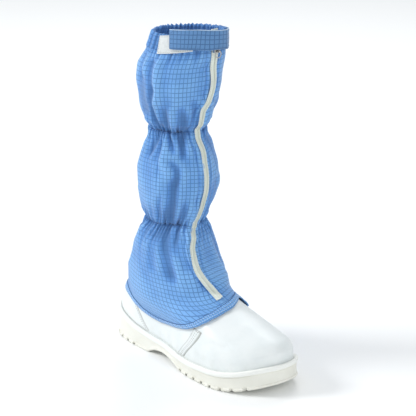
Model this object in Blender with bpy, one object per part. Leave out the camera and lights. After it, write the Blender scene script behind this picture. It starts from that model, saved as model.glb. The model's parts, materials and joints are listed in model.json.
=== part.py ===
"""Cleanroom boot for the right foot: moulded sole, lasted upper and gathered cloth gaiter with a front zip.

Metres, +Z up. The toe points to +X and the outer side of the foot is -Y. The origin is on the
ground, under the middle of the sole.
"""

from math import acos, ceil, cos, pi, sin, sqrt

import bmesh
import bpy
from mathutils import Matrix, Vector

# Driving sizes of the sole
SOLE_LENGTH = 0.300
SOLE_WIDTH = 0.1085
LIP_TOP = 0.043             # height of the sole's lip at the back of the heel
SEAT_HEIGHT = 0.030         # height of the recess that the upper stands in, at the back of the heel
ARCH_HEIGHT = 0.0085
TOE_SPRING = 0.015
HEEL_ROLL = 0.005
LIP_WIDTH = 0.005
LIP_HEIGHT = 0.006
LIP_PROUD = 0.0014          # how far the lip and the foot of the wall stand out past the wall
EDGE_ROUND = 0.0015
TREAD_DEPTH = 0.0035
TREAD_GROOVE = 0.0045
TREAD_PITCH = 0.0150
TREAD_REACH = 1.2           # length of a groove's cutter over the sole's width

# Driving sizes of the upper
UPPER_WALL = 0.0022
COLLAR_HEIGHT = 0.098       # top edge of the upper at the back of the heel
INSTEP_HEIGHT = 0.104       # top edge of the upper over the instep
COLLAR_BACK = 0.028         # from the back of the heel to the back of the collar
COLLAR_FRONT = 0.184        # from the back of the heel to the front of the collar
COLLAR_WIDTH = 0.073
NARROW_START = 0.3          # place along a section where the heel's width gives way to the ball's
NARROW_RUN = 0.4
INSOLE_THICKNESS = 0.004
OVERLAY_THICKNESS = 0.0009

# Driving sizes of the shaft
BOOT_HEIGHT = 0.422
CASING_HEIGHT = 0.021
LEG_AXIS = 0.100            # from the back of the heel to the middle of the ankle
LEG_HALF = 0.0560           # half the widest length of the shaft between its gathers
TOP_LEAN = 0.022            # how far forward the leg opening stands of the ankle
TOP_INWARD = 0.006          # how far the leg opening leans towards the other foot
RIM_RISE = 0.006            # how much higher the leg opening stands at the front
ZIP_STIFFNESS = 0.005       # how far the zip holds the cloth out at the gathers
ZIP_STIFF_TURN = 0.65       # angle beside the zip over which it does so
RIM_START = 0.85            # share of the height where the leg opening's form starts
CLOTH = 0.0012
CASING_WALL = 0.0030
PLEAT_DEPTH = 0.0024
PLEAT_RUN = 0.015           # distance over which the pleats grow, beside the zip's tape
CASING_PLEAT = 0.0022
HEM_STEP = 0.0006           # extra thickness of the folded hem
HEM_EASE = 0.0005           # how loosely the hem lies on the upper
HEM_FRONT = 0.089           # height of the hem's lower edge over the instep
SKIRT_TOP = 0.125           # where the skirt meets the level rings of the leg
COLLAR_EASE = 0.0015        # how softly the skirt leaves the upper's collar
STEEPEST = 0.3              # least slope of the upper that the level gap under the skirt is worked out for
COLLAR_FADE = 0.030         # height over the collar in which the collar's print fades

# Driving sizes of the strap and the zip
STRAP_DROP = 0.0015         # from the leg opening down to the strap's sewn end
STRAP_WIDTH = 0.0220
STRAP_TILT = 0.008          # how much higher the strap's free end stands than its sewn end
STRAP_THICKNESS = 0.0014
PATCH_WIDTH = 0.0215
PATCH_TILT = 0.004          # how much higher the patch's front end stands
PATCH_THICKNESS = 0.0011
PATCH_DROP = 0.0020         # from the leg opening down to the patch
TAPE_WIDTH = 0.0100
TAPE_THICKNESS = 0.0008
CHAIN_WIDTH = 0.0044
CHAIN_THICKNESS = 0.0015
SLIDER_WIDTH = 0.0090
SLIDER_LENGTH = 0.0120
SLIDER_THICKNESS = 0.0025
RING_RADIUS = 0.0041        # to the middle of the wire
RING_WIRE = 0.0006          # radius of the wire
EYE_WIDTH = 0.0022
EYE_WALL = 0.0009
EYE_RAISE = 0.0001          # how far the eye's hole clears the slider's face
RING_DROP = 0.0018          # from the strap's lower edge down to the ring's axis

# Clearances
GAP = 0.0003
OVERLAY_LIFT = 0.0004       # an overlay lies on the corners of a faceted upper
TAPE_LIFT = 0.0009          # the tape lies over a cloth that slopes
CHAIN_GAP = 0.0004          # the chain lies over a tape that twists
SLIDER_ROOM = 0.0008        # between the slider and the sides of the chain
RUNNING = 0.0005            # between the ring's wire and the eye that it hangs in

# Fineness of the meshes
HALF_COLUMNS = 28           # points along each side of the foot and the leg
COLUMNS = 2 * HALF_COLUMNS
PLEATS = HALF_COLUMNS // 2
CASING_PLEATS = HALF_COLUMNS
STRAP_STEPS = 28
PATCH_STEPS = 12
RING_STEPS = 20
WIRE_SIDES = 8
ARCH_STEPS = 8
WELD = 0.00001              # points of a sheet that lie closer than this are one
SHARP_ANGLE = pi / 5        # edges bent further than this are shaded sharp

HALF_LENGTH = SOLE_LENGTH / 2
HALF_WIDTH = SOLE_WIDTH / 2
FRONT = pi                  # angle of the front of the boot; the back is 0, the outer side pi / 2

# Sole outline: share of the length, then shares of the half width on the outer and inner side
OUTLINE = (
    # length, outer, inner
    (0.000, 0.014, 0.014),
    (0.033, 0.440, 0.447),
    (0.117, 0.685, 0.680),
    (0.250, 0.765, 0.720),
    (0.383, 0.765, 0.640),
    (0.517, 0.885, 0.680),
    (0.650, 0.995, 0.890),
    (0.740, 1.000, 1.000),
    (0.850, 0.853, 0.986),
    (0.933, 0.558, 0.844),
    (0.983, 0.171, 0.562),
    (1.000, -0.161, 0.161),
)

# Underside: share of the length, then shares of the heel roll, arch height and toe spring
UNDERSIDE = (
    # length, roll, arch, spring
    (0.000, 1.00, 0.00, 0.00),
    (0.027, 0.10, 0.00, 0.00),
    (0.050, 0.00, 0.00, 0.00),
    (0.300, 0.00, 0.00, 0.00),
    (0.325, 0.00, 0.40, 0.00),
    (0.367, 0.00, 0.88, 0.00),
    (0.417, 0.00, 1.00, 0.00),
    (0.467, 0.00, 0.85, 0.00),
    (0.500, 0.00, 0.60, 0.00),
    (0.533, 0.00, 0.20, 0.00),
    (0.560, 0.00, 0.00, 0.00),
    (0.783, 0.00, 0.00, 0.00),
    (0.867, 0.00, 0.00, 0.20),
    (0.933, 0.00, 0.00, 0.54),
    (1.000, 0.00, 0.00, 1.00),
)

# Flat parts of the underside that carry the tread: start and end, as shares of the length
TREAD_FLATS = (
    # start, end
    (0.060, 0.250),
    (0.560, 0.930),
)

# Lip and recess: share of the length, then shares of their heights at the back of the heel
LIP_LINE = (
    # length, lip, recess
    (0.000, 1.000, 1.000),
    (0.067, 0.930, 0.900),
    (0.200, 0.720, 0.750),
    (0.333, 0.590, 0.585),
    (0.443, 0.535, 0.485),
    (0.550, 0.490, 0.435),
    (0.713, 0.535, 0.435),
    (0.800, 0.585, 0.470),
    (0.863, 0.665, 0.515),
    (0.947, 0.835, 0.635),
    (1.000, 0.930, 0.730),
)

# Steps of the sole's side, up from the ground: inset, share of the wall's height, offset from that height
SOLE_STEPS = (
    # inset, height share, offset
    (EDGE_ROUND, 0.0, 0.0),
    (EDGE_ROUND * 0.2, 0.0, EDGE_ROUND),
    (0.0, 0.0, EDGE_ROUND * 2),
    (LIP_PROUD, 0.0, EDGE_ROUND * 2 + LIP_PROUD),
    (LIP_PROUD, 1.0, -LIP_HEIGHT - LIP_PROUD),
    (0.0, 1.0, -LIP_HEIGHT),
    (0.0, 1.0, -LIP_PROUD),
    (LIP_PROUD, 1.0, 0.0),
    (LIP_WIDTH, 1.0, 0.0),
)

# Sections of the upper over the lip, up to the collar. The places of the back and front are shares of
# the way from the lip to the collar, and so are the heights at the back, side and front.
UPPER_SECTIONS = (
    # back, front, heel width, ball width, back height, side height, front height, roundness
    (0.06, 0.000, 0.840, 0.905, 0.130, 0.16, 0.100, 0.00),
    (0.20, 0.002, 0.800, 0.900, 0.290, 0.33, 0.235, 0.02),
    (0.42, 0.060, 0.760, 0.860, 0.473, 0.49, 0.367, 0.06),
    (0.58, 0.175, 0.760, 0.780, 0.618, 0.63, 0.484, 0.15),
    (0.70, 0.355, 0.775, 0.700, 0.736, 0.74, 0.589, 0.32),
    (0.80, 0.580, 0.810, 0.640, 0.836, 0.83, 0.678, 0.55),
    (0.90, 0.790, 0.850, 0.600, 0.922, 0.915, 0.778, 0.80),
    (1.00, 1.000, 0.900, 0.600, 1.000, 1.00, 1.000, 1.00),
)

# Overlays on the upper: start and end at the lip, then at the top edge, in half turns from the heel by the
# outer side, and the section of the upper that the top edge lies on
OVERLAYS = (
    # name, low start, low end, high start, high end, top
    ("heel_counter", -0.370, 0.370, -0.220, 0.220, 4.6),
    ("side_tab_lateral", 0.523, 0.545, 0.604, 0.632, 4.5),
    ("side_tab_medial", 1.455, 1.477, 1.368, 1.396, 4.5),
)
OVERLAY_FOOT = 1.1

# Sections of the leg: height over the ground, forward place, half length, half width over half length
# and depth of the pleats, as shares of the boot's height, the lean, the leg's half size and the pleat depth
LEG_SECTIONS = (
    # height, forward, inward, half length, width ratio, pleats
    (0.120, 0.30, 0.00, 1.640, 0.500, 0.00),
    (0.190, 0.38, 0.00, 1.560, 0.560, 0.00),
    (0.240, 0.28, 0.00, 1.480, 0.595, 0.10),
    (0.282, 0.20, 0.00, 1.330, 0.660, 0.25),
    (0.322, 0.12, 0.00, 1.170, 0.740, 0.45),
    (0.358, 0.06, 0.00, 1.030, 0.830, 0.70),
    (0.395, 0.05, 0.00, 0.885, 0.890, 0.90),
    (0.4185, 0.06, 0.00, 0.735, 0.925, 1.00),
    (0.4345, 0.07, 0.00, 0.735, 0.925, 1.00),
    (0.457, 0.10, 0.00, 0.820, 0.925, 0.90),
    (0.498, 0.22, 0.00, 0.915, 0.925, 0.45),
    (0.545, 0.32, 0.00, 0.950, 0.925, 0.20),
    (0.583, 0.32, 0.00, 0.955, 0.925, 0.20),
    (0.628, 0.32, 0.00, 0.900, 0.925, 0.45),
    (0.661, 0.36, 0.00, 0.820, 0.925, 0.80),
    (0.7030, 0.32, 0.00, 0.680, 0.925, 1.00),
    (0.7190, 0.32, 0.00, 0.680, 0.925, 1.00),
    (0.740, 0.36, 0.00, 0.800, 0.925, 0.90),
    (0.790, 0.40, 0.00, 0.915, 0.925, 0.45),
    (0.855, 0.44, 0.10, 0.985, 0.925, 0.20),
    (0.900, 0.54, 0.30, 0.970, 0.925, 0.25),
    (0.945, 0.82, 0.70, 0.915, 0.925, 0.80),
    (1.000, 1.00, 1.00, 0.845, 0.925, 1.00),
)

# The zip's middle line: height as a share of the boot's height, angle from the front, as an arc length
ZIP_LINE = (
    # height, arc towards the outer side
    (0.200, 0.0040),
    (0.235, 0.0070),
    (0.265, 0.0120),
    (0.313, 0.0138),
    (0.372, 0.0105),
    (0.427, 0.0060),
    (0.500, 0.0035),
    (0.560, 0.0005),
    (0.640, 0.0035),
    (0.711, 0.0075),
    (0.742, 0.0130),
    (0.772, 0.0095),
    (0.810, -0.0020),
    (0.865, -0.0060),
    (0.930, -0.0010),
    (1.000, 0.0010),
)
ZIP_END_HEIGHT = 0.099
ZIP_TOP_PROUD = 0.003       # how far the tape's tips stand over the casing

# Hem's lower edge: share of the way from back to front, shares of its height over the instep
HEM_LINE = (
    # way, outer side, inner side
    (0.000, 0.750, 0.750),
    (0.180, 0.718, 0.718),
    (0.280, 0.617, 0.617),
    (0.370, 0.550, 0.555),
    (0.410, 0.543, 0.560),
    (0.450, 0.563, 0.590),
    (0.540, 0.657, 0.720),
    (0.610, 0.768, 0.870),
    (0.675, 0.847, 0.960),
    (0.750, 0.900, 1.020),
    (0.830, 0.940, 1.050),
    (0.920, 0.980, 1.035),
    (1.000, 1.005, 1.005),
)

# Rise of the strap over the casing and share of its tilt, from its free end round the front to its sewn end
STRAP_RISE = (
    # share of the strap's length, rise, tilt
    (0.00, 0.0019, 1.00),
    (0.26, 0.0030, 0.80),
    (0.42, 0.0080, 0.55),
    (0.47, 0.0096, 0.49),
    (0.53, 0.0096, 0.44),
    (0.60, 0.0055, 0.33),
    (0.74, 0.0020, 0.15),
    (1.00, 0.0006, 0.00),
)
STRAP_START = 0.610 * FRONT
STRAP_END = 1.460 * FRONT
PATCH_START = 0.495 * FRONT
PATCH_END = 0.820 * FRONT


def slope(left, right):
    """Slope at a row between two steps, so that the curve never passes its rows."""
    if left * right <= 0:
        return 0.0
    return 2 * left * right / (left + right)


def read(rows, column, place):
    """Value of one column of a table at a place, on a smooth curve through its rows."""
    if place <= rows[0][0]:
        return rows[0][column]
    if place >= rows[-1][0]:
        return rows[-1][column]
    low = max(index for index, row in enumerate(rows) if row[0] <= place)
    low = min(low, len(rows) - 2)

    def step(index):
        before, after = rows[index], rows[index + 1]
        return (after[column] - before[column]) / (after[0] - before[0])

    here = step(low)
    start = slope(step(low - 1), here) if low > 0 else here
    end = slope(here, step(low + 1)) if low + 2 < len(rows) else here
    width = rows[low + 1][0] - rows[low][0]
    share = (place - rows[low][0]) / width
    square, cube = share * share, share * share * share
    return (
        (2 * cube - 3 * square + 1) * rows[low][column]
        + (cube - 2 * square + share) * width * start
        + (3 * square - 2 * cube) * rows[low + 1][column]
        + (cube - square) * width * end
    )


def ease(share):
    """A share from 0 to 1 that starts and ends gently."""
    share = min(max(share, 0.0), 1.0)
    return share * share * (3 - 2 * share)


def mix(start, end, share):
    """A value or a point between two others."""
    return start * (1 - share) + end * share


def soft_step(amount, width):
    """The amount where it is positive and 0 where it is negative, rounded over a width."""
    return 0.5 * (amount + sqrt(amount * amount + width * width))


# Places are stored by the curve's angle, where the outline's ends are round
OUTLINE_BY_ANGLE = tuple((acos(1 - 2 * row[0]) / pi, row[1], row[2]) for row in OUTLINE)


def split_angle(angle):
    """Share of the way from back to front, and -1 on the outer or 1 on the inner side."""
    angle = angle % (2 * pi)
    if angle <= pi:
        return angle / pi, -1
    return (2 * pi - angle) / pi, 1


def along(share):
    """Place between back and front, as a share of the length, of a point at a share of the turn."""
    return (1 - cos(pi * share)) / 2


def outline(angle):
    """Sole outline seen from above, as a point."""
    share, side = split_angle(angle)
    column = 1 if side < 0 else 2
    width = read(OUTLINE_BY_ANGLE, column, share) * HALF_WIDTH
    return Vector((along(share) * SOLE_LENGTH - HALF_LENGTH, side * width, 0))


def inset_outline(angle, distance):
    """Sole outline moved inwards by a distance."""
    small = pi / 360
    run = outline(angle + small) - outline(angle - small)
    inward = Vector((run.y, -run.x, 0)).normalized()
    point = outline(angle)
    if inward.dot(point) > 0:
        inward = -inward
    return point + inward * distance


def length_share(x):
    """Place along the foot as a share of the sole's length."""
    return (x + HALF_LENGTH) / SOLE_LENGTH


def ground_height(x):
    """Height of the sole's underside."""
    place = length_share(x)
    return (
        read(UNDERSIDE, 1, place) * HEEL_ROLL
        + read(UNDERSIDE, 2, place) * ARCH_HEIGHT
        + read(UNDERSIDE, 3, place) * TOE_SPRING
    )


def lip_height(x):
    """Height of the sole's lip."""
    return read(LIP_LINE, 1, length_share(x)) * LIP_TOP


def floor_height(x):
    """Height of the recess in the sole."""
    return read(LIP_LINE, 2, length_share(x)) * SEAT_HEIGHT


def around(point_at):
    """A ring of points, one for each column."""
    return [point_at(2 * pi * column / COLUMNS) for column in range(COLUMNS)]


def material(name, colour, roughness, metallic=0.0):
    """Plain material of one sub-part."""
    made = bpy.data.materials.new(name)
    made.use_nodes = True
    shader = made.node_tree.nodes["Principled BSDF"]
    shader.inputs["Base Color"].default_value = (*colour, 1.0)
    shader.inputs["Roughness"].default_value = roughness
    shader.inputs["Metallic"].default_value = metallic
    return made


def finish(name, shape, finish_of):
    """Object of a closed bmesh, faces out, shaded smooth except at its edges."""
    bmesh.ops.recalc_face_normals(shape, faces=shape.faces)
    mesh = bpy.data.meshes.new(name)
    shape.to_mesh(mesh)
    shape.free()
    mesh.shade_smooth()
    mesh.set_sharp_from_angle(angle=SHARP_ANGLE)
    mesh.materials.append(finish_of)
    made = bpy.data.objects.new(name, mesh)
    bpy.context.scene.collection.objects.link(made)
    return made


def skin(shape, rings, closed=True):
    """Faces between each ring of vertices and the next."""
    for lower, upper in zip(rings, rings[1:]):
        count = len(lower)
        for column in range(count if closed else count - 1):
            after = (column + 1) % count
            shape.faces.new((lower[column], lower[after], upper[after], upper[column]))


def add_rings(shape, rings):
    """Vertices of rings of points."""
    return [[shape.verts.new(point) for point in ring] for ring in rings]


def ladder(shape, ring):
    """Close a ring of the foot by faces across it, each at one place along the foot."""
    half = len(ring) // 2
    shape.faces.new((ring[0], ring[1], ring[-1]))
    for column in range(1, half - 1):
        shape.faces.new((ring[column], ring[column + 1], ring[-column - 1], ring[-column]))
    shape.faces.new((ring[half - 1], ring[half], ring[half + 1]))


def tube(name, outer, inner, finish_of):
    """Hollow piece between an outer and an inner set of rings, open at both ends."""
    shape = bmesh.new()
    skin(shape, close_loop(add_rings(shape, outer), add_rings(shape, inner)))
    return finish(name, shape, finish_of)


def close_loop(outer, inner):
    """Rings up the outside, down the inside and back to the first."""
    return [*outer, *reversed(inner), outer[0]]


def patch(name, grid, thickness_grid, finish_of):
    """Closed sheet between two grids of points, a lower and an upper; points that coincide are joined."""
    shape = bmesh.new()
    low = add_rings(shape, grid)
    high = add_rings(shape, thickness_grid)
    loops = [[*below, *reversed(above)] for below, above in zip(low, high)]
    skin(shape, loops)
    for loop in (loops[0], loops[-1]):
        half = len(loop) // 2
        for column in range(half - 1):
            corners = (loop[column], loop[column + 1], loop[-column - 2], loop[-column - 1])
            shape.faces.new(corners)
    bmesh.ops.remove_doubles(shape, verts=shape.verts, dist=WELD)
    return finish(name, shape, finish_of)


# Outsole

def tread_cutters(parent):
    """Bars that cut the tread's grooves across the heel and the forefoot."""
    shape = bmesh.new()
    for start, end in TREAD_FLATS:
        first = start * SOLE_LENGTH - HALF_LENGTH
        last = end * SOLE_LENGTH - HALF_LENGTH
        count = int((last - first) / TREAD_PITCH) + 1
        for index in range(count):
            x = first + index * TREAD_PITCH
            level = ground_height(x) + TREAD_DEPTH
            size = Matrix.Diagonal((TREAD_GROOVE, SOLE_WIDTH * TREAD_REACH, 2 * TREAD_DEPTH, 1))
            place = Matrix.Translation((x, 0, level - TREAD_DEPTH))
            bmesh.ops.create_cube(shape, size=1, matrix=place @ size)
    cutter = finish("tread_cutter", shape, parent.data.materials[0])
    cutter.hide_render = True
    cutter.display_type = "WIRE"
    cutter.parent = parent
    cut = parent.modifiers.new("Tread", "BOOLEAN")
    cut.operation = "DIFFERENCE"
    cut.solver = "EXACT"
    cut.object = cutter


def sole_ring(inset, height_share, offset):
    """One step of the sole's side."""
    def point(angle):
        place = inset_outline(angle, inset)
        low, high = ground_height(place.x), lip_height(place.x)
        place.z = mix(low, high, height_share) + offset
        return place
    return around(point)


def recess_ring():
    """Foot of the recess's wall."""
    def point(angle):
        place = inset_outline(angle, LIP_WIDTH)
        place.z = floor_height(place.x)
        return place
    return around(point)


def build_outsole():
    """Sole unit with its stepped side, lip, recess and tread."""
    shape = bmesh.new()
    rings = [sole_ring(*row) for row in SOLE_STEPS]
    rings.append(recess_ring())
    made = add_rings(shape, rings)
    skin(shape, made)
    ladder(shape, made[0])
    ladder(shape, made[-1])
    sole = finish("outsole", shape, material("sole_polyurethane", (0.86, 0.86, 0.80), 0.55))
    tread_cutters(sole)
    return sole


# Upper

UPPER_INSET = LIP_WIDTH + GAP


def upper_section(row):
    """One section of the upper over the lip."""
    back, front, heel, ball, back_rise, side_rise, front_rise, roundness = row
    lip_back = inset_outline(0, UPPER_INSET).x
    lip_front = inset_outline(pi, UPPER_INSET).x
    back_x = mix(lip_back, COLLAR_BACK - HALF_LENGTH, back)
    front_x = mix(lip_front, COLLAR_FRONT - HALF_LENGTH, front)
    centre_share = 0.5 * (back + front)

    def point(angle):
        share, side = split_angle(angle)
        place = along(share)
        x = mix(back_x, front_x, place)
        sole_width = read(OUTLINE_BY_ANGLE, 1 if side < 0 else 2, share) * HALF_WIDTH
        narrow = mix(heel, ball, ease((place - NARROW_START) / NARROW_RUN))
        oval = sin(pi * share) * COLLAR_WIDTH / 2
        y = side * mix(sole_width * narrow, oval, roundness)
        low = lip_height(x)
        rise_back = (COLLAR_HEIGHT - LIP_TOP) * back_rise
        rise_side = (COLLAR_HEIGHT - lip_height(0)) * side_rise
        rise_front = (INSTEP_HEIGHT - lip_height(HALF_LENGTH)) * front_rise
        if place < 0.5:
            rise = mix(rise_back, rise_side, ease(place * 2))
        else:
            rise = mix(rise_side, rise_front, ease(place * 2 - 1))
        base = mix(low, mix(LIP_TOP, lip_height(HALF_LENGTH), ease(place)), ease(centre_share))
        base = mix(base, lip_height(0), centre_share * sin(pi * place) ** 2)
        return Vector((x, y, base + rise))
    return around(point)


def upper_cup_ring(height_at):
    """Ring of the upper inside the sole's recess."""
    def point(angle):
        place = inset_outline(angle, UPPER_INSET)
        place.z = height_at(place.x)
        return place
    return around(point)


def upper_rings():
    """Rings of the upper's outer face, from the sole's recess to the collar."""
    return [
        upper_cup_ring(lambda x: floor_height(x) + GAP),
        upper_cup_ring(lambda x: lip_height(x)),
        *[upper_section(row) for row in UPPER_SECTIONS],
    ]


def ring_normals(rings):
    """Outward normal at each point of a set of rings."""
    normals = []
    for level, ring in enumerate(rings):
        below, above = rings[max(level - 1, 0)], rings[min(level + 1, len(rings) - 1)]
        row = []
        for column in range(COLUMNS):
            across = ring[(column + 1) % COLUMNS] - ring[column - 1]
            up = above[column] - below[column]
            normal = across.cross(up).normalized()
            row.append(normal)
        normals.append(row)
    return normals


def moved(rings, normals, distance):
    """Rings moved along their normals by a distance."""
    return [
        [point + normal * distance for point, normal in zip(ring, row)]
        for ring, row in zip(rings, normals)
    ]


UPPER_OUTER = upper_rings()
UPPER_NORMALS = ring_normals(UPPER_OUTER)
for cup_level in (0, 1):
    UPPER_NORMALS[cup_level] = [
        Vector((normal.x, normal.y, 0)).normalized() for normal in UPPER_NORMALS[0]
    ]


def upper_point(angle, level, lift):
    """Point over the upper's outer face, between its rings and its columns."""
    column = (angle / (2 * pi)) % 1 * COLUMNS
    left = int(column) % COLUMNS
    across = column - int(column)
    low = min(int(level), len(UPPER_OUTER) - 2)
    up = level - low
    right = (left + 1) % COLUMNS

    def lifted(ring, spot):
        return UPPER_OUTER[ring][spot] + UPPER_NORMALS[ring][spot] * lift

    lower = mix(lifted(low, left), lifted(low, right), across)
    upper = mix(lifted(low + 1, left), lifted(low + 1, right), across)
    return mix(lower, upper, up)


def upper_level(angle, height):
    """Level of the upper's face that lies at a height, at one angle."""
    low, high = 1.0, float(len(UPPER_OUTER) - 1)
    for _ in range(30):
        middle = (low + high) / 2
        if upper_point(angle, middle, 0).z < height:
            low = middle
        else:
            high = middle
    return (low + high) / 2


def build_upper():
    """Hollow upper with its real wall, open at the collar and underneath."""
    inner = moved(UPPER_OUTER, UPPER_NORMALS, -UPPER_WALL)
    return tube("upper", UPPER_OUTER, inner, material("upper_microfibre", (0.90, 0.92, 0.91), 0.42))


def build_insole():
    """Footbed on the floor of the recess."""
    edge = UPPER_INSET + UPPER_WALL + GAP

    def ring(inset, lift):
        def point(angle):
            place = inset_outline(angle, inset)
            place.z = floor_height(place.x) + lift
            return place
        return around(point)

    shape = bmesh.new()
    made = add_rings(shape, [ring(edge, GAP), ring(edge, GAP + INSOLE_THICKNESS)])
    skin(shape, made)
    ladder(shape, made[0])
    ladder(shape, made[1])
    return finish("insole", shape, material("insole_felt", (0.72, 0.72, 0.70), 0.9))


def build_overlay(row, finish_of):
    """Overlay on the upper between two slanted edges, cut from the upper's own face."""
    name, low_start, low_end, high_start, high_end, top = row
    levels = [OVERLAY_FOOT, *range(ceil(OVERLAY_FOOT), ceil(top)), top]
    first, last = min(low_start, high_start), max(low_end, high_end)
    inside = range(ceil(first * HALF_COLUMNS), ceil(last * HALF_COLUMNS))
    turns = [first, *[column / HALF_COLUMNS for column in inside], last]
    grids = []
    for lift in (OVERLAY_LIFT, OVERLAY_LIFT + OVERLAY_THICKNESS):
        rows = []
        for level in levels:
            share = (level - OVERLAY_FOOT) / (top - OVERLAY_FOOT)
            start = mix(low_start, high_start, share)
            end = mix(low_end, high_end, share)
            rows.append([upper_point(min(max(turn, start), end) * pi, level, lift) for turn in turns])
        grids.append(rows)
    return patch(name, grids[0], grids[1], finish_of)


# Shaft

def hem_height(angle):
    """Height of the hem's lower edge."""
    share, side = split_angle(angle)
    return read(HEM_LINE, 1 if side < 0 else 2, share) * HEM_FRONT


def leg_section(height):
    """Middle, half length, half width and pleat share of the leg at a height."""
    place = height / BOOT_HEIGHT
    centre = Vector((
        LEG_AXIS - HALF_LENGTH + read(LEG_SECTIONS, 1, place) * TOP_LEAN,
        read(LEG_SECTIONS, 2, place) * TOP_INWARD,
        height,
    ))
    half_length = read(LEG_SECTIONS, 3, place) * LEG_HALF
    return centre, half_length, half_length * read(LEG_SECTIONS, 4, place), read(LEG_SECTIONS, 5, place)


def rim_share(height):
    """Share of the leg opening's form, from 0 under it to 1 at its edge."""
    return ease((height / BOOT_HEIGHT - RIM_START) / (1 - RIM_START))


def zip_angle(height):
    """Angle of the zip's middle line at a height."""
    _, half_length, half_width, _ = leg_section(height)
    return FRONT - read(ZIP_LINE, 1, height / BOOT_HEIGHT) / half_width


def leg_point(angle, height, lift=0.0):
    """Point over the smooth form of the leg, with no pleats."""
    centre, half_length, half_width, gathered = leg_section(height)
    direction = Vector((-cos(angle), -sin(angle), 0))
    point = centre + Vector((direction.x * half_length, direction.y * half_width, 0))
    normal = Vector((direction.x * half_width, direction.y * half_length, 0)).normalized()
    beside = abs(angle % (2 * pi) - zip_angle(height)) / ZIP_STIFF_TURN
    held = ZIP_STIFFNESS * gathered * (1 - ease(beside)) * (1 - rim_share(height))
    point.z += RIM_RISE * rim_share(height) * (0.5 - 0.5 * cos(angle)) ** 2
    return point + normal * (lift + held)


def beside_upper(angle, height, lift):
    """Point moved out level from the upper's face until it clears the face by a lift."""
    level = upper_level(angle, height)
    face = upper_point(angle, level, 0)
    normal = upper_point(angle, level, 1.0) - face
    flat = Vector((normal.x, normal.y, 0))
    return face + flat * lift / max(flat.length_squared, STEEPEST)


def over_upper(angle, height, lift):
    """Point of the shaft that keeps clear of the upper inside it."""
    point = leg_point(angle, height)
    normal = leg_point(angle, height, 1.0) - point
    collar = upper_point(angle, len(UPPER_OUTER) - 1, 0).z
    ahead = beside_upper(angle, min(height, collar), lift) - point
    ahead.z = 0
    fade = 1 - ease((height - collar) / COLLAR_FADE)
    return point + normal * soft_step(ahead.dot(normal), COLLAR_EASE) * fade


HEM_LIFT = OVERLAY_LIFT + OVERLAY_THICKNESS + GAP + HEM_EASE + CLOTH + HEM_STEP
HEM_SHARES = (0.0, 0.10, 0.13, 0.36, 0.68)
LEG_LEVELS = (
    0.298, 0.335, 0.366, 0.397, 0.4185, 0.4345, 0.457, 0.498, 0.564,
    0.628, 0.661, 0.7030, 0.7190, 0.740, 0.790, 0.870, 0.915,
)
CASING_SHARES = (0.0, 0.12, 0.88, 1.0)
SHAFT_TOP = BOOT_HEIGHT - CASING_HEIGHT - GAP


def pleat(angle, height, count, depth):
    """How far a pleat sinks into the leg; the pleats stop beside the zip."""
    _, half_length, _, share = leg_section(height)
    from_zip = abs(angle % (2 * pi) - zip_angle(height)) * half_length
    beside = ease((from_zip - TAPE_WIDTH) / PLEAT_RUN)
    return depth * share * beside * (0.5 - 0.5 * cos(count * angle))


def skirt_point(angle, share, lift):
    """Point of the skirt between the hem and the level rings."""
    height = mix(hem_height(angle), SKIRT_TOP, share)
    hung = over_upper(angle, height, lift)
    point = mix(hung, beside_upper(angle, height, lift), max(0.0, 1 - 2 * share) ** 2)
    point.z = height
    return point


def skirt_ring(share, lift):
    """Ring of the skirt, as a function of the angle."""
    return lambda angle: skirt_point(angle, share, lift)


def level_ring(height, count, depth, lift=0.0):
    """Level ring of the leg, as a function of the angle."""
    return lambda angle: leg_point(angle, height, lift - pleat(angle, height, count, depth))


def shaft_profile():
    """Outer rings of the shaft from the hem up to the casing, as functions of the angle."""
    steps = (0.0, 0.0, HEM_STEP, HEM_STEP, HEM_STEP)
    rings = [skirt_ring(share, HEM_LIFT - step) for share, step in zip(HEM_SHARES, steps)]
    heights = [share * BOOT_HEIGHT for share in LEG_LEVELS]
    return rings + [level_ring(height, PLEATS, PLEAT_DEPTH) for height in [*heights, SHAFT_TOP]]


SHAFT_PROFILE = shaft_profile()


def build_shaft(finish_of):
    """Gaiter tube with two gathers, a skirt and a folded hem."""
    outer = [around(ring) for ring in SHAFT_PROFILE]
    normals = ring_normals(outer)
    inner = moved(outer, normals, -CLOTH)
    inner[:2] = moved(outer[:2], normals[:2], -CLOTH - HEM_STEP)
    return tube("shaft", outer, inner, finish_of)


def build_casing(finish_of):
    """Gathered elastic casing at the leg opening."""
    bottom = BOOT_HEIGHT - CASING_HEIGHT
    rounding = CASING_WALL / 4
    outer, inner = [], []
    for share, pinch in zip(CASING_SHARES, (rounding, 0.0, 0.0, rounding)):
        height = bottom + share * CASING_HEIGHT
        outer.append(around(level_ring(height, CASING_PLEATS, CASING_PLEAT, -pinch)))
        inner.append(around(level_ring(height, CASING_PLEATS, CASING_PLEAT, pinch - CASING_WALL)))
    return tube("top_casing", outer, inner, finish_of)


# Strap and patch

STRAP_TOP = BOOT_HEIGHT - STRAP_DROP
STRAP_BOTTOM = STRAP_TOP - STRAP_WIDTH


def band(name, turn, heights, rise_at, tilt_at, thickness, steps, finish_of):
    """Flat band round the leg opening between two angles."""
    grids = []
    for extra in (0.0, thickness):
        rows = []
        for step in range(steps + 1):
            angle = mix(turn[0], turn[1], step / steps)
            rise = rise_at(step / steps) + extra
            tilt = Vector((0, 0, tilt_at(step / steps)))
            low = leg_point(angle, heights[0], rise) + tilt
            high = leg_point(angle, heights[1], rise) + tilt
            rows.append([low, mix(low, high, 0.5), high])
        grids.append(rows)
    return patch(name, grids[0], grids[1], finish_of)


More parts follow.
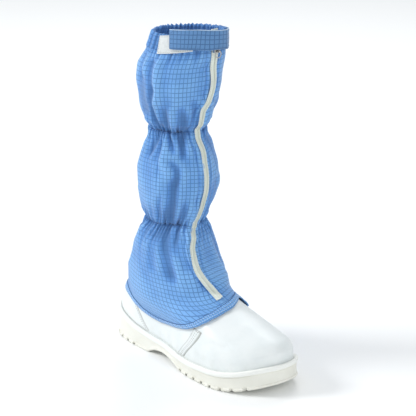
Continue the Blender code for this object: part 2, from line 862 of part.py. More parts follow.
def build_strap(cloth, loops):
    """Closing strap and the loop patch that its free end lies on."""
    patch_top = BOOT_HEIGHT - PATCH_DROP
    band(
        "strap", (STRAP_START, STRAP_END), (STRAP_BOTTOM, STRAP_TOP),
        lambda share: read(STRAP_RISE, 1, share), lambda share: read(STRAP_RISE, 2, share) * STRAP_TILT,
        STRAP_THICKNESS, STRAP_STEPS, cloth,
    )
    band(
        "loop_patch", (PATCH_START, PATCH_END), (patch_top - PATCH_WIDTH, patch_top),
        lambda share: GAP, lambda share: share * PATCH_TILT, PATCH_THICKNESS, PATCH_STEPS, loops,
    )


# Zip

def front_profile():
    """Rings that the zip lies on, from its lower end to its tips."""
    def height_of(ring):
        return ring(FRONT).z

    below = max(index for index, ring in enumerate(SHAFT_PROFILE) if height_of(ring) < ZIP_END_HEIGHT)
    low, high = SHAFT_PROFILE[below], SHAFT_PROFILE[below + 1]
    share = (ZIP_END_HEIGHT - height_of(low)) / (height_of(high) - height_of(low))
    rings = [lambda angle: mix(low(angle), high(angle), share)]
    rings += SHAFT_PROFILE[below + 1:]
    bottom = BOOT_HEIGHT - CASING_HEIGHT
    rings += [level_ring(bottom + share * CASING_HEIGHT, 0, 0.0) for share in CASING_SHARES[1:3]]
    rings.append(level_ring(BOOT_HEIGHT + ZIP_TOP_PROUD, 0, 0.0))
    return rings


def zip_point(ring, across, lift):
    """Point over the cloth at a distance across from the zip's middle line."""
    height = ring(FRONT).z
    _, half_length, half_width, _ = leg_section(height)
    angle = zip_angle(height) + across / half_width
    outward = Vector((-cos(angle) * half_width, -sin(angle) * half_length, 0)).normalized()
    return ring(angle) + outward * lift


def zip_strip(name, rings, widths, low_lifts, high_lifts, finish_of):
    """Strip along the zip, with a width and a lift for each of its columns."""
    grids = [
        [[zip_point(ring, width, lift) for width, lift in zip(widths, lifts)] for ring in rings]
        for lifts in (low_lifts, high_lifts)
    ]
    return patch(name, grids[0], grids[1], finish_of)


CHAIN_LIFT = TAPE_LIFT + TAPE_THICKNESS + CHAIN_GAP
CHAIN_TOP = CHAIN_LIFT + CHAIN_THICKNESS
SLIDER_LIFT = CHAIN_TOP + GAP
SLIDER_TOP = SLIDER_LIFT + SLIDER_THICKNESS
EYE_HOLE = RING_WIRE + RUNNING
EYE_AXIS = SLIDER_TOP + EYE_HOLE + EYE_RAISE


def strap_tilt(angle):
    """How far the strap stands over its sewn end's height at an angle."""
    return read(STRAP_RISE, 2, (angle - STRAP_START) / (STRAP_END - STRAP_START)) * STRAP_TILT


RING_AXIS_HEIGHT = STRAP_BOTTOM + strap_tilt(FRONT) - RING_DROP


def slider_frame():
    """Middle of the slider's end on the cloth, with its across, up and outward directions."""
    height = RING_AXIS_HEIGHT
    angle = zip_angle(height)
    base = leg_point(angle, height)
    above = leg_point(zip_angle(height + SLIDER_LENGTH), height + SLIDER_LENGTH)
    outward = (leg_point(angle, height, 1.0) - base).normalized()
    up = (above - base).normalized()
    across = up.cross(outward).normalized()
    return base, across, up, across.cross(up).normalized()


def build_zip(tape_finish, chain_finish, metal):
    """Tape, chain, slider and pull ring."""
    rings = front_profile()
    half = TAPE_WIDTH / 2
    zip_strip(
        "zip_tape", rings, (-half, 0.0, half), (TAPE_LIFT,) * 3,
        (TAPE_LIFT + TAPE_THICKNESS,) * 3, tape_finish,
    )
    half = CHAIN_WIDTH / 2
    edge = CHAIN_TOP - CHAIN_THICKNESS / 3
    zip_strip(
        "zip_chain", rings[:-1], (-half, 0.0, half), (CHAIN_LIFT,) * 3,
        (edge, CHAIN_TOP, edge), chain_finish,
    )
    build_slider(metal)
    build_ring(metal)


def extrude_outline(name, outline_points, origin, first, second, along_axis, length, finish_of):
    """Solid of a flat outline, given in two directions, pushed both ways along a third."""
    shape = bmesh.new()
    start = [
        shape.verts.new(origin + first * a + second * b - along_axis * length / 2)
        for a, b in outline_points
    ]
    face = shape.faces.new(start)
    pushed = bmesh.ops.extrude_face_region(shape, geom=[face])
    moved_verts = [item for item in pushed["geom"] if isinstance(item, bmesh.types.BMVert)]
    bmesh.ops.translate(shape, verts=moved_verts, vec=along_axis * length)
    return finish(name, shape, finish_of)


def build_slider(metal):
    """Slider that straddles the chain, with the eye of the pull ring at its lower end."""
    base, across, up, outward = slider_frame()
    eye_outer = EYE_HOLE + EYE_WALL
    middle = base + up * (SLIDER_LENGTH / 2 - eye_outer)
    half, inner = SLIDER_WIDTH / 2, CHAIN_WIDTH / 2 + SLIDER_ROOM
    foot = CHAIN_LIFT
    bevel = SLIDER_THICKNESS / 3
    channel = (
        (-half, foot), (-inner, foot), (-inner, SLIDER_LIFT), (inner, SLIDER_LIFT), (inner, foot),
        (half, foot), (half, SLIDER_TOP - bevel), (half - bevel, SLIDER_TOP),
        (bevel - half, SLIDER_TOP), (-half, SLIDER_TOP - bevel),
    )
    body = extrude_outline("zip_slider", channel, middle, across, outward, up, SLIDER_LENGTH, metal)
    sunk = SLIDER_TOP - EYE_WALL / 3
    turns = [pi * step / ARCH_STEPS for step in range(ARCH_STEPS + 1)]
    arch = [(eye_outer * cos(turn), EYE_AXIS + eye_outer * sin(turn)) for turn in turns]
    arch += [(-eye_outer, sunk), (-EYE_HOLE, sunk)]
    arch += [(-EYE_HOLE * cos(turn), EYE_AXIS + EYE_HOLE * sin(turn)) for turn in turns]
    arch += [(EYE_HOLE, sunk), (eye_outer, sunk)]
    eye = extrude_outline("slider_eye", arch, base, up, outward, across, EYE_WIDTH, metal)
    eye.hide_render = True
    eye.display_type = "WIRE"
    eye.parent = body
    weld = body.modifiers.new("Eye", "BOOLEAN")
    weld.operation = "UNION"
    weld.solver = "EXACT"
    weld.object = eye


def build_ring(metal):
    """Wire ring that hangs in the slider's eye; its origin is on its hinge axis."""
    base, across, _, outward = slider_frame()
    axis_point = base + outward * EYE_AXIS
    level = Vector((across.x, across.y, 0)).normalized()
    shape = bmesh.new()
    rings = []
    for step in range(RING_STEPS):
        turn = 2 * pi * step / RING_STEPS
        spoke = level * sin(turn) + Vector((0, 0, cos(turn)))
        centre = spoke * RING_RADIUS - Vector((0, 0, RING_RADIUS))
        side = level.cross(Vector((0, 0, 1)))
        ring = []
        for corner in range(WIRE_SIDES):
            bend = 2 * pi * corner / WIRE_SIDES
            ring.append(shape.verts.new(centre + (spoke * cos(bend) + side * sin(bend)) * RING_WIRE))
        rings.append(ring)
    skin(shape, [*rings, rings[0]])
    ring_object = finish("zip_pull_ring", shape, metal)
    ring_object.location = axis_point


def main():
    """Build every sub-part."""
    for old in list(bpy.data.objects):
        bpy.data.objects.remove(old, do_unlink=True)
    build_outsole()
    build_upper()
    build_insole()
    overlay = material("overlay_microfibre", (0.88, 0.90, 0.89), 0.45)
    for row in OVERLAYS:
        build_overlay(row, overlay)
    cloth = material("grid_cloth", (0.22, 0.45, 0.82), 0.75)
    build_shaft(cloth)
    build_casing(cloth)
    build_strap(
        material("strap_cloth", (0.25, 0.40, 0.62), 0.75),
        material("loop_pile", (0.85, 0.88, 0.87), 0.9),
    )
    build_zip(
        material("zip_tape_polyester", (0.83, 0.87, 0.80), 0.7),
        material("zip_coil_nylon", (0.85, 0.88, 0.83), 0.4),
        material("nickel_plate", (0.62, 0.61, 0.57), 0.25, 1.0),
    )


main()
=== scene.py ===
"""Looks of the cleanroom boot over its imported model: cloth, gathers, seams, zip, sole and finishes."""

import json
import random
from math import cos, pi, radians, sin, sqrt

import bmesh
import bpy
import numpy as np
from mathutils import Matrix, Vector


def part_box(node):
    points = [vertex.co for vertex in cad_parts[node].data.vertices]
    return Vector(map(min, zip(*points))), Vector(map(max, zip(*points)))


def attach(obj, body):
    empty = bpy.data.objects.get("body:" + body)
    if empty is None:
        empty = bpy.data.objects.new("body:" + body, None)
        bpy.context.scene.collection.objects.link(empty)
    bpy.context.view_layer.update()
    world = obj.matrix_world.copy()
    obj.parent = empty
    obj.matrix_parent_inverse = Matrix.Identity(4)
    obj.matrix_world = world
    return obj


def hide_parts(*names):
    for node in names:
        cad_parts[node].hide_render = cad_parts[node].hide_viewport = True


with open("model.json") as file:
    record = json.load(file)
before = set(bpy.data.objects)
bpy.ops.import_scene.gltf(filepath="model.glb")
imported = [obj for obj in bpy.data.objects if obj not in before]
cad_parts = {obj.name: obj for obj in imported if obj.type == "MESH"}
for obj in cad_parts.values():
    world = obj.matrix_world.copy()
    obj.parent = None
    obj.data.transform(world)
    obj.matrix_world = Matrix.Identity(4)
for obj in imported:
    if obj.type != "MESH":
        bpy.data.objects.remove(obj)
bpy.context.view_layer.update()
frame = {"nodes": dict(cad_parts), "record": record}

bl_info = {
    "name": "Cleanroom boot",
    "version": (1, 0, 0),
    "blender": (4, 5, 0),
    "location": "View3D > Sidebar > Boot",
    "description": "Dresses the packed boot with its cloth, seams, zip and finishes",
    "category": "Object",
}

MM = 0.001

# Sole, upper and leg, as the construction has them
HALF_LENGTH = 0.150
SOLE_LENGTH = 0.300
HALF_WIDTH = 0.05425
LIP_TOP = 0.043
SEAT_HEIGHT = 0.030
LIP_WIDTH = 0.005
ARCH_HEIGHT = 0.0085
TOE_SPRING = 0.015
HEEL_ROLL = 0.005
TREAD_DEPTH = 0.0035
TREAD_GROOVE = 0.0045
TREAD_PITCH = 0.0150
GROOVE_SLOPE = 0.0006
GROOVE_FULL = 0.001
GROOVE_FADE = 0.004
COLLAR_HEIGHT = 0.098
INSTEP_HEIGHT = 0.104
COLLAR_BACK = 0.028
COLLAR_FRONT = 0.184
COLLAR_WIDTH = 0.073
UPPER_INSET = 0.0053
UPPER_WALL = 0.0022
SEAT_GAP = 0.0003
HEEL_END = 0.3
BALL_RUN = 0.4
BOOT_HEIGHT = 0.422
CASING_HEIGHT = 0.021
LEG_AXIS = 0.100
LEG_HALF = 0.0560
TOP_LEAN = 0.022
TOP_INWARD = 0.006
RIM_RISE = 0.006
RIM_START = 0.85
ZIP_STIFFNESS = 0.005
ZIP_STIFF_TURN = 0.65
SKIRT_TOP = 0.125
HEM_FRONT = 0.089
HEM_LIFT = 0.0031
COLLAR_EASE = 0.0015
COLLAR_FADE = 0.030
STRAP_TOP = 0.4205
STRAP_WIDTH = 0.0220
STRAP_TILT = 0.008
ZIP_END_HEIGHT = 0.099

OUTLINE = (
    # length, outer, inner
    (0.000, 0.014, 0.014), (0.033, 0.440, 0.447), (0.117, 0.685, 0.680), (0.250, 0.765, 0.720),
    (0.383, 0.765, 0.640), (0.517, 0.885, 0.680), (0.650, 0.995, 0.890), (0.740, 1.000, 1.000),
    (0.850, 0.853, 0.986), (0.933, 0.558, 0.844), (0.983, 0.171, 0.562), (1.000, -0.161, 0.161),
)
UNDERSIDE = (
    # length, roll, arch, spring
    (0.000, 1.00, 0.00, 0.00), (0.027, 0.10, 0.00, 0.00), (0.050, 0.00, 0.00, 0.00),
    (0.300, 0.00, 0.00, 0.00), (0.325, 0.00, 0.40, 0.00), (0.367, 0.00, 0.88, 0.00),
    (0.417, 0.00, 1.00, 0.00), (0.467, 0.00, 0.85, 0.00), (0.500, 0.00, 0.60, 0.00),
    (0.533, 0.00, 0.20, 0.00), (0.560, 0.00, 0.00, 0.00), (0.783, 0.00, 0.00, 0.00),
    (0.867, 0.00, 0.00, 0.20), (0.933, 0.00, 0.00, 0.54), (1.000, 0.00, 0.00, 1.00),
)
TREAD_FLATS = (
    # start, end
    (0.060, 0.250), (0.560, 0.930),
)
LIP_LINE = (
    # length, lip, recess
    (0.000, 1.000, 1.000), (0.067, 0.930, 0.900), (0.200, 0.720, 0.750), (0.333, 0.590, 0.585),
    (0.443, 0.535, 0.485), (0.550, 0.490, 0.435), (0.713, 0.535, 0.435), (0.800, 0.585, 0.470),
    (0.863, 0.665, 0.515), (0.947, 0.835, 0.635), (1.000, 0.930, 0.730),
)
UPPER_SECTIONS = (
    # back, front, heel width, ball width, back height, side height, front height, roundness
    (0.06, 0.000, 0.840, 0.905, 0.130, 0.16, 0.100, 0.00),
    (0.20, 0.002, 0.800, 0.900, 0.290, 0.33, 0.235, 0.02),
    (0.42, 0.060, 0.760, 0.860, 0.473, 0.49, 0.367, 0.06),
    (0.58, 0.175, 0.760, 0.780, 0.618, 0.63, 0.484, 0.15),
    (0.70, 0.355, 0.775, 0.700, 0.736, 0.74, 0.589, 0.32),
    (0.80, 0.580, 0.810, 0.640, 0.836, 0.83, 0.678, 0.55),
    (0.90, 0.790, 0.850, 0.600, 0.922, 0.915, 0.778, 0.80),
    (1.00, 1.000, 0.900, 0.600, 1.000, 1.00, 1.000, 1.00),
)
LEG_SECTIONS = (
    # height, forward, inward, half length, width ratio, gathered
    (0.120, 0.30, 0.00, 1.640, 0.500, 0.00), (0.190, 0.38, 0.00, 1.560, 0.560, 0.00),
    (0.240, 0.28, 0.00, 1.480, 0.595, 0.10), (0.282, 0.20, 0.00, 1.330, 0.660, 0.25),
    (0.322, 0.12, 0.00, 1.170, 0.740, 0.45), (0.358, 0.06, 0.00, 1.030, 0.830, 0.70),
    (0.395, 0.05, 0.00, 0.885, 0.890, 0.90), (0.4185, 0.06, 0.00, 0.735, 0.925, 1.00),
    (0.4345, 0.07, 0.00, 0.735, 0.925, 1.00), (0.457, 0.10, 0.00, 0.820, 0.925, 0.90),
    (0.498, 0.22, 0.00, 0.915, 0.925, 0.45), (0.545, 0.32, 0.00, 0.950, 0.925, 0.20),
    (0.583, 0.32, 0.00, 0.955, 0.925, 0.20), (0.628, 0.32, 0.00, 0.900, 0.925, 0.45),
    (0.661, 0.36, 0.00, 0.820, 0.925, 0.80), (0.7030, 0.32, 0.00, 0.680, 0.925, 1.00),
    (0.7190, 0.32, 0.00, 0.680, 0.925, 1.00), (0.740, 0.36, 0.00, 0.800, 0.925, 0.90),
    (0.790, 0.40, 0.00, 0.915, 0.925, 0.45), (0.855, 0.44, 0.10, 0.985, 0.925, 0.20),
    (0.900, 0.54, 0.30, 0.970, 0.925, 0.25), (0.945, 0.82, 0.70, 0.915, 0.925, 0.80),
    (1.000, 1.00, 1.00, 0.845, 0.925, 1.00),
)
ZIP_LINE = (
    # height, arc towards the outer side
    (0.200, 0.0040), (0.235, 0.0080), (0.265, 0.0140), (0.313, 0.0200), (0.365, 0.0180),
    (0.400, 0.0118), (0.427, 0.0070), (0.500, 0.0038), (0.560, 0.0005), (0.640, 0.0022), (0.705, 0.0040),
    (0.740, 0.0055), (0.778, 0.0058), (0.810, -0.0010), (0.865, -0.0060), (0.930, -0.0010),
    (1.000, 0.0010),
)
HEM_LINE = (
    # way, outer side, inner side
    (0.000, 0.750, 0.750), (0.180, 0.718, 0.718), (0.280, 0.617, 0.617), (0.370, 0.550, 0.555),
    (0.410, 0.543, 0.560), (0.450, 0.563, 0.590), (0.540, 0.657, 0.690), (0.610, 0.768, 0.790),
    (0.675, 0.847, 0.880), (0.750, 0.900, 0.965), (0.830, 0.940, 1.020), (0.920, 0.980, 1.028),
    (1.000, 1.005, 1.005),
)
STRAP_RISE = (
    # share of the strap's length, rise, tilt
    (0.00, 0.0019, 1.00), (0.26, 0.0030, 0.80), (0.42, 0.0080, 0.55), (0.47, 0.0096, 0.49),
    (0.53, 0.0096, 0.44), (0.60, 0.0055, 0.33), (0.74, 0.0020, 0.15), (1.00, 0.0006, 0.00),
)
STRAP_TURN = (0.610, 1.460)
PATCH_TURN = (0.495, 0.820)
PATCH_TOP = 0.4200
PATCH_WIDTH = 0.0215
PATCH_TILT = 0.004

# Gathers: height of the sewn line, and how far the pleats reach above and below it
GATHERS = (
    # height, reach up, reach down
    (0.3005, 1.00, 1.15),
    (0.1802, 1.10, 1.25),
)
# Pleats at the gathers, from fine to coarse
PLEATS = (
    # count, depth, reach, sharpness, shade
    (50, 0.0056, 0.0085, 1.0, 2.2),
    (26, 0.0040, 0.0170, 1.5, 0.3),
    (12, 0.0040, 0.0380, 1.9, 0.3),
)
# How far pleats wander sideways, as shares of their pitch, and how they lean as they leave the line
PLEAT_WOBBLE = (
    # share, waves round the leg, seeds
    (0.35, 3, 1), (0.25, 7, 2),
)
PLEAT_LEAN = 4.0
PLEAT_FADE = 1.4
PLEAT_BULGE = 0.0014
BULGE_REACH = 0.012
# Pleats leave the cloth flat beside the zip: angle where they start, and the angle that they take to grow
PLEATS_START = 0.13
PLEATS_RUN = 0.30
TOP_PLEATS_RUN = 0.2
# The sewn line rises beside the zip and sways round the leg
LINE_RISE = 0.0028
LINE_SWAY = 0.0010
SEW_WIDTH = 0.002
# The elastic pinches the cloth at its line, and the cloth puffs out above and below it
PINCH_DEPTH = 0.0016
PINCH_WIDTH = 0.0013
PUFF_DEPTH = 0.0012
PUFF_PLACE = 0.0065
PUFF_WIDTH = 0.0045
# Pleats under the casing: seed, count, depth and sharpness
TOP_PLEATS = (77, 40, 0.0030, 1.2)
TOP_PLEAT_REACH = 0.012
CASING_FADE = 0.010
# The cloth lies flat at the hem's edge, and its folds grow above it
HEM_FLAT = 0.004
HEM_FADE = 0.030
# Soft unevenness of the cloth, as products of two waves
SWELLS = (
    # depth, then for each wave: waves round the leg, waves up it, start
    (0.0011, (4, 31, 0.0), (2, -58, 1.0)),
    (0.0005, (9, -90, 0.7), (5, 140, 0.0)),
)
# Folded edges of the cloth beside the zip; their rise also sets painted shade, lighter on the raised edge and
# darker in the trough beside it
PLACKET = (
    # distance from the zip's middle, half width, rise
    (0.0068, 0.0013, 0.0014),
    (0.0100, 0.0014, -0.0016),
)
# Folds of the cloth, as the worn shaft has them: a trough with a ridge beside it, which lies at the larger
# angle where it is positive
FOLDS = (
    # start angle, start height, end angle, end height, half width, depth, ridge
    (88, 0.392, 97, 0.352, 0.0060, 0.0034, 0.55),
    (97, 0.356, 90, 0.338, 0.0060, 0.0042, 0.60),
    (90, 0.340, 94, 0.308, 0.0050, 0.0032, 0.60),
    (78, 0.372, 72, 0.318, 0.0110, 0.0030, 0.20),
    (60, 0.398, 70, 0.362, 0.0060, 0.0020, 0.30),
    (118, 0.299, 130, 0.276, 0.0035, 0.0030, 0.50),
    (143, 0.299, 145, 0.270, 0.0040, 0.0036, 0.45),
    (96, 0.298, 84, 0.268, 0.0045, 0.0028, 0.40),
    (104, 0.296, 100, 0.262, 0.0045, 0.0022, 0.40),
    (121, 0.268, 137, 0.256, 0.0045, 0.0022, -0.60),
    (138, 0.258, 133, 0.238, 0.0050, 0.0026, 0.50),
    (131, 0.242, 127, 0.186, 0.0060, 0.0036, 0.45),
    (110, 0.222, 108, 0.184, 0.0055, 0.0020, 0.30),
    (150, 0.212, 152, 0.184, 0.0045, 0.0020, 0.30),
    (120, 0.176, 121, 0.112, 0.0085, 0.0034, 0.35),
    (98, 0.176, 94, 0.120, 0.0080, 0.0022, 0.30),
    (138, 0.176, 143, 0.126, 0.0075, 0.0022, 0.30),
    (152, 0.140, 162, 0.104, 0.0070, 0.0018, 0.40),
    (160, 0.345, 166, 0.308, 0.0050, 0.0026, 0.40),
    (140, 0.336, 148, 0.308, 0.0055, 0.0022, 0.40),
    (115, 0.334, 112, 0.308, 0.0055, 0.0020, 0.30),
    (210, 0.340, 222, 0.308, 0.0070, 0.0030, 0.40),
    (250, 0.380, 240, 0.312, 0.0090, 0.0030, 0.40),
    (300, 0.390, 306, 0.315, 0.0090, 0.0034, 0.40),
    (20, 0.385, 12, 0.315, 0.0100, 0.0034, 0.40),
    (340, 0.290, 352, 0.240, 0.0080, 0.0030, 0.40),
    (280, 0.292, 268, 0.235, 0.0090, 0.0030, 0.40),
    (235, 0.290, 228, 0.240, 0.0070, 0.0026, 0.40),
    (40, 0.290, 50, 0.225, 0.0080, 0.0028, 0.40),
    (215, 0.240, 222, 0.190, 0.0080, 0.0028, 0.40),
    (320, 0.170, 326, 0.110, 0.0100, 0.0032, 0.40),
    (270, 0.172, 262, 0.095, 0.0110, 0.0036, 0.40),
    (225, 0.168, 214, 0.118, 0.0090, 0.0028, 0.40),
    (35, 0.172, 28, 0.110, 0.0100, 0.0032, 0.40),
    (356, 0.170, 2, 0.100, 0.0090, 0.0024, 0.40),
)
FOLD_DEPTH = 1.45
FOLD_END = 0.006
FOLD_FADE = 0.014
FOLD_RADIUS = 0.045
RIDGE_PLACE = 1.7
RIDGE_WIDTH = 1.1
# Creases of the upper where the foot bends, on either side
FLEX_CREASES = (
    # start and end in half turns, section, half width in sections, depth
    (0.640, 0.760, 3.6, 0.30, 0.0005),
    (1.245, 1.360, 3.4, 0.30, 0.0005),
)
# Overlays of the upper: edges in half turns at the lip and at the top, and the top's section
OVERLAYS = (
    # name, low start, low end, high start, high end, top
    ("heel_counter", -0.370, 0.370, -0.220, 0.220, 4.6),
    ("side_tab_lateral", 0.510, 0.545, 0.592, 0.632, 4.5),
    ("side_tab_medial", 1.455, 1.490, 1.368, 1.408, 4.5),
)
OVERLAY_FOOT = 1.1

# The camera and the picture's frame
PICTURE = 416
FOCAL_PIXELS = 1487.7
CAMERA_PLACE = (1.33597, -1.14930, 0.78193)
CAMERA_TARGET = (-0.060, 0.00075, 0.200)
TARGET_PIXEL = (111.096, 203.711)
BOOT_PIXEL = (148.8, 213.3)
SENSOR = 36.0


# Measures along the boot

def curve(start, start_slope, end, end_slope, t):
    """Smooth curve between two places, each with its slope."""
    first = start * (2 * t**3 - 3 * t**2 + 1) + start_slope * (t**3 - 2 * t**2 + t)
    return first + end * (3 * t**2 - 2 * t**3) + end_slope * (t**3 - t**2)


def read(rows, column, place):
    """Values of a table's column at places, on a smooth curve that never passes its rows."""
    keys, values = np.array([(row[0], row[column]) for row in rows]).T
    steps = np.diff(values) / np.diff(keys)
    product, total = steps[:-1] * steps[1:], steps[:-1] + steps[1:]
    inner = np.where(product > 0, 2 * product / np.where(total == 0, 1, total), 0.0)
    slopes = np.concatenate(([steps[0]], inner, [steps[-1]]))
    place = np.clip(place, keys[0], keys[-1])
    low = np.clip(np.searchsorted(keys, place, side="right") - 1, 0, len(keys) - 2)
    width = keys[low + 1] - keys[low]
    t = (place - keys[low]) / width
    return curve(values[low], width * slopes[low], values[low + 1], width * slopes[low + 1], t)


def ease(share):
    """Shares from 0 to 1 that start and end gently."""
    share = np.clip(share, 0.0, 1.0)
    return share * share * (3 - 2 * share)


def mix(start, end, share):
    """Values between two others."""
    return start * (1 - share) + end * share


def stack(x, y, z):
    """Points of three coordinates."""
    return np.stack(np.broadcast_arrays(x, y, z), axis=-1)


def unit(vectors):
    """Directions of vectors."""
    return vectors / np.maximum(np.linalg.norm(vectors, axis=-1, keepdims=True), 1e-9)


def hump(away, width):
    """1 in the middle, falling away softly on both sides."""
    return np.exp(-((away / width) ** 2))


def lengths(points, axis=0):
    """Length along lines of points, from their start."""
    run = np.cumsum(np.linalg.norm(np.diff(points, axis=axis), axis=-1), axis=axis)
    return np.concatenate((np.zeros_like(run.take([0], axis)), run), axis=axis)


def at_length(place, run, points):
    """The point of a path at a length along it."""
    return np.array([np.interp(place, run, points[:, axis]) for axis in range(3)])


def split(angle):
    """Share of the way from back to front, and -1 on the outer or 1 on the inner side."""
    angle = np.mod(angle, 2 * pi)
    return np.where(angle <= pi, angle, 2 * pi - angle) / pi, np.where(angle <= pi, -1.0, 1.0)


OUTLINE_BY_ANGLE = tuple((float(np.arccos(1 - 2 * row[0]) / pi), row[1], row[2]) for row in OUTLINE)


def sole_half_width(share, side):
    """Half width of the sole on a side."""
    outer, inner = read(OUTLINE_BY_ANGLE, 1, share), read(OUTLINE_BY_ANGLE, 2, share)
    return np.where(side < 0, outer, inner) * HALF_WIDTH


def outline(angle):
    """Sole outline seen from above, as x and y."""
    share, side = split(angle)
    x = (1 - np.cos(pi * share)) / 2 * SOLE_LENGTH - HALF_LENGTH
    return x, side * sole_half_width(share, side)


def inset_outline(angle, distance):
    """Sole outline moved inwards."""
    small = pi / 360
    x, y = outline(angle)
    after, before = outline(angle + small), outline(angle - small)
    run_x, run_y = after[0] - before[0], after[1] - before[1]
    length = np.hypot(run_x, run_y)
    in_x, in_y = run_y / length, -run_x / length
    turned = np.where(in_x * x + in_y * y > 0, -1.0, 1.0)
    return x + in_x * turned * distance, y + in_y * turned * distance


def along_sole(table, column, x):
    """A table's column at a place along the sole."""
    return read(table, column, (x + HALF_LENGTH) / SOLE_LENGTH)


def ground(x):
    """Height of the sole's underside, with no tread."""
    roll, arch = along_sole(UNDERSIDE, 1, x) * HEEL_ROLL, along_sole(UNDERSIDE, 2, x) * ARCH_HEIGHT
    return roll + arch + along_sole(UNDERSIDE, 3, x) * TOE_SPRING


def lip(x):
    """Height of the sole's lip."""
    return along_sole(LIP_LINE, 1, x) * LIP_TOP


def recess(x):
    """Height of the floor inside the sole's lip."""
    return along_sole(LIP_LINE, 2, x) * SEAT_HEIGHT


def upper_rings(angle):
    """Points of the upper's sections at angles, one row for each section."""
    share, side = split(angle)
    place = (1 - np.cos(pi * share)) / 2
    x, y = inset_outline(angle, UPPER_INSET)
    rings = [stack(x, y, recess(x) + SEAT_GAP), stack(x, y, lip(x))]
    lip_back, lip_front = (inset_outline(turn, UPPER_INSET)[0] for turn in (0.0, pi))
    lip_toe, lip_side = float(lip(HALF_LENGTH)), float(lip(0.0))
    tops = (COLLAR_HEIGHT - LIP_TOP, COLLAR_HEIGHT - lip_side, INSTEP_HEIGHT - lip_toe)
    for back, front, heel, ball, *rises, roundness in UPPER_SECTIONS:
        x_back = mix(lip_back, COLLAR_BACK - HALF_LENGTH, back)
        x = mix(x_back, mix(lip_front, COLLAR_FRONT - HALF_LENGTH, front), place)
        narrow = mix(heel, ball, ease((place - HEEL_END) / BALL_RUN))
        oval = np.sin(pi * share) * COLLAR_WIDTH / 2
        y = side * mix(sole_half_width(share, side) * narrow, oval, roundness)
        at_back, at_side, at_front = (top * rise for top, rise in zip(tops, rises))
        behind, ahead = mix(at_back, at_side, ease(place * 2)), mix(at_side, at_front, ease(place * 2 - 1))
        centre = 0.5 * (back + front)
        base = mix(lip(x), mix(LIP_TOP, lip_toe, ease(place)), ease(centre))
        base = mix(base, lip_side, centre * np.sin(pi * place) ** 2)
        rings.append(stack(x, y, base + np.where(place < 0.5, behind, ahead)))
    return np.array(rings)


UPPER_TOP = float(len(UPPER_SECTIONS) + 1)


def upper_points(angle, level):
    """Points over the upper's outer face, smooth between its sections."""
    rings = upper_rings(angle.ravel())
    last = len(rings) - 1
    flat = level.ravel()
    low = np.clip(flat.astype(int), 0, last - 1)
    t, row, spot = (flat - low)[:, None], low[:, None], np.arange(flat.size)
    a, b = rings[low, spot], rings[low + 1, spot]
    before, after = rings[np.maximum(low - 1, 0), spot], rings[np.minimum(low + 2, last), spot]
    start = np.where(row > 1, (b - before) / 2, b - a)
    end = np.where((row > 0) & (row < last - 1), (after - a) / 2, b - a)
    return curve(a, start, b, end, t).reshape(angle.shape + (3,))


def upper_face(angle, level, lift=0.0):
    """Points over the upper, raised from its outer face by a lift, and their directions."""
    angle, level = np.broadcast_arrays(angle, level)
    small = 0.01
    across = upper_points(angle + small, level) - upper_points(angle - small, level)
    above = upper_points(angle, np.minimum(level + small, UPPER_TOP))
    normal = unit(np.cross(across, above - upper_points(angle, np.maximum(level - small, 0.0))))
    return upper_points(angle, level) + normal * np.asarray(lift)[..., None], normal


def leg_half_length(height):
    """Half of the leg's length from back to front."""
    return read(LEG_SECTIONS, 3, height / BOOT_HEIGHT) * LEG_HALF


def leg_half_width(height):
    """Half of the leg's width."""
    return leg_half_length(height) * read(LEG_SECTIONS, 4, height / BOOT_HEIGHT)


def leg(angle, height, lift=0.0):
    """Points over the smooth form of the leg, and their outward directions."""
    place = height / BOOT_HEIGHT
    half_length, half_width = leg_half_length(height), leg_half_width(height)
    rim = ease((place - RIM_START) / (1 - RIM_START))
    flat_x, flat_y = -np.cos(angle), -np.sin(angle)
    normal = unit(stack(flat_x * half_width, flat_y * half_length, 0.0))
    beside = np.abs(np.mod(angle, 2 * pi) - zip_angle(height)) / ZIP_STIFF_TURN
    held = ZIP_STIFFNESS * read(LEG_SECTIONS, 5, place) * (1 - ease(beside)) * (1 - rim)
    x = LEG_AXIS - HALF_LENGTH + read(LEG_SECTIONS, 1, place) * TOP_LEAN + flat_x * half_length
    y = read(LEG_SECTIONS, 2, place) * TOP_INWARD + flat_y * half_width
    z = height + RIM_RISE * rim * (0.5 - 0.5 * np.cos(angle)) ** 2
    return stack(x, y, z) + normal * np.asarray(lift + held)[..., None], normal


def zip_angle(height):
    """Angle of the zip's middle line at heights."""
    return pi - read(ZIP_LINE, 1, height / BOOT_HEIGHT) / leg_half_width(height)


def from_zip(angle, height):
    """Angle away from the zip's middle line, on either side."""
    return np.abs(np.mod(angle - zip_angle(height) + pi, 2 * pi) - pi)


def hem_height(angle):
    """Height of the hem's lower edge."""
    share, side = split(angle)
    return np.where(side < 0, read(HEM_LINE, 1, share), read(HEM_LINE, 2, share)) * HEM_FRONT


# The upper's face by angle and height, for what hangs over it
PRINT_ANGLES = 360
PRINT_HEIGHTS = np.arange(0.040, 0.131, MM)
LEAST_SLOPE = 0.3


def upper_print():
    """The upper's outer face and directions on a lattice of angles and heights."""
    turns = np.arange(PRINT_ANGLES) * 2 * pi / PRINT_ANGLES
    levels = np.linspace(1.0, UPPER_TOP, 121)
    points, normals = upper_face(turns[:, None] + levels * 0, levels)
    table = np.zeros((PRINT_ANGLES, len(PRINT_HEIGHTS), 5))
    for row in range(PRINT_ANGLES):
        rising = np.maximum.accumulate(points[row, :, 2])
        at = np.interp(PRINT_HEIGHTS, rising, levels)
        for column, values in enumerate((*points[row, :, :2].T, *normals[row, :, :2].T)):
            table[row, :, column] = np.interp(at, levels, values)
        table[row, :, 4] = rising[-1]
    return table


UPPER_PRINT = upper_print()


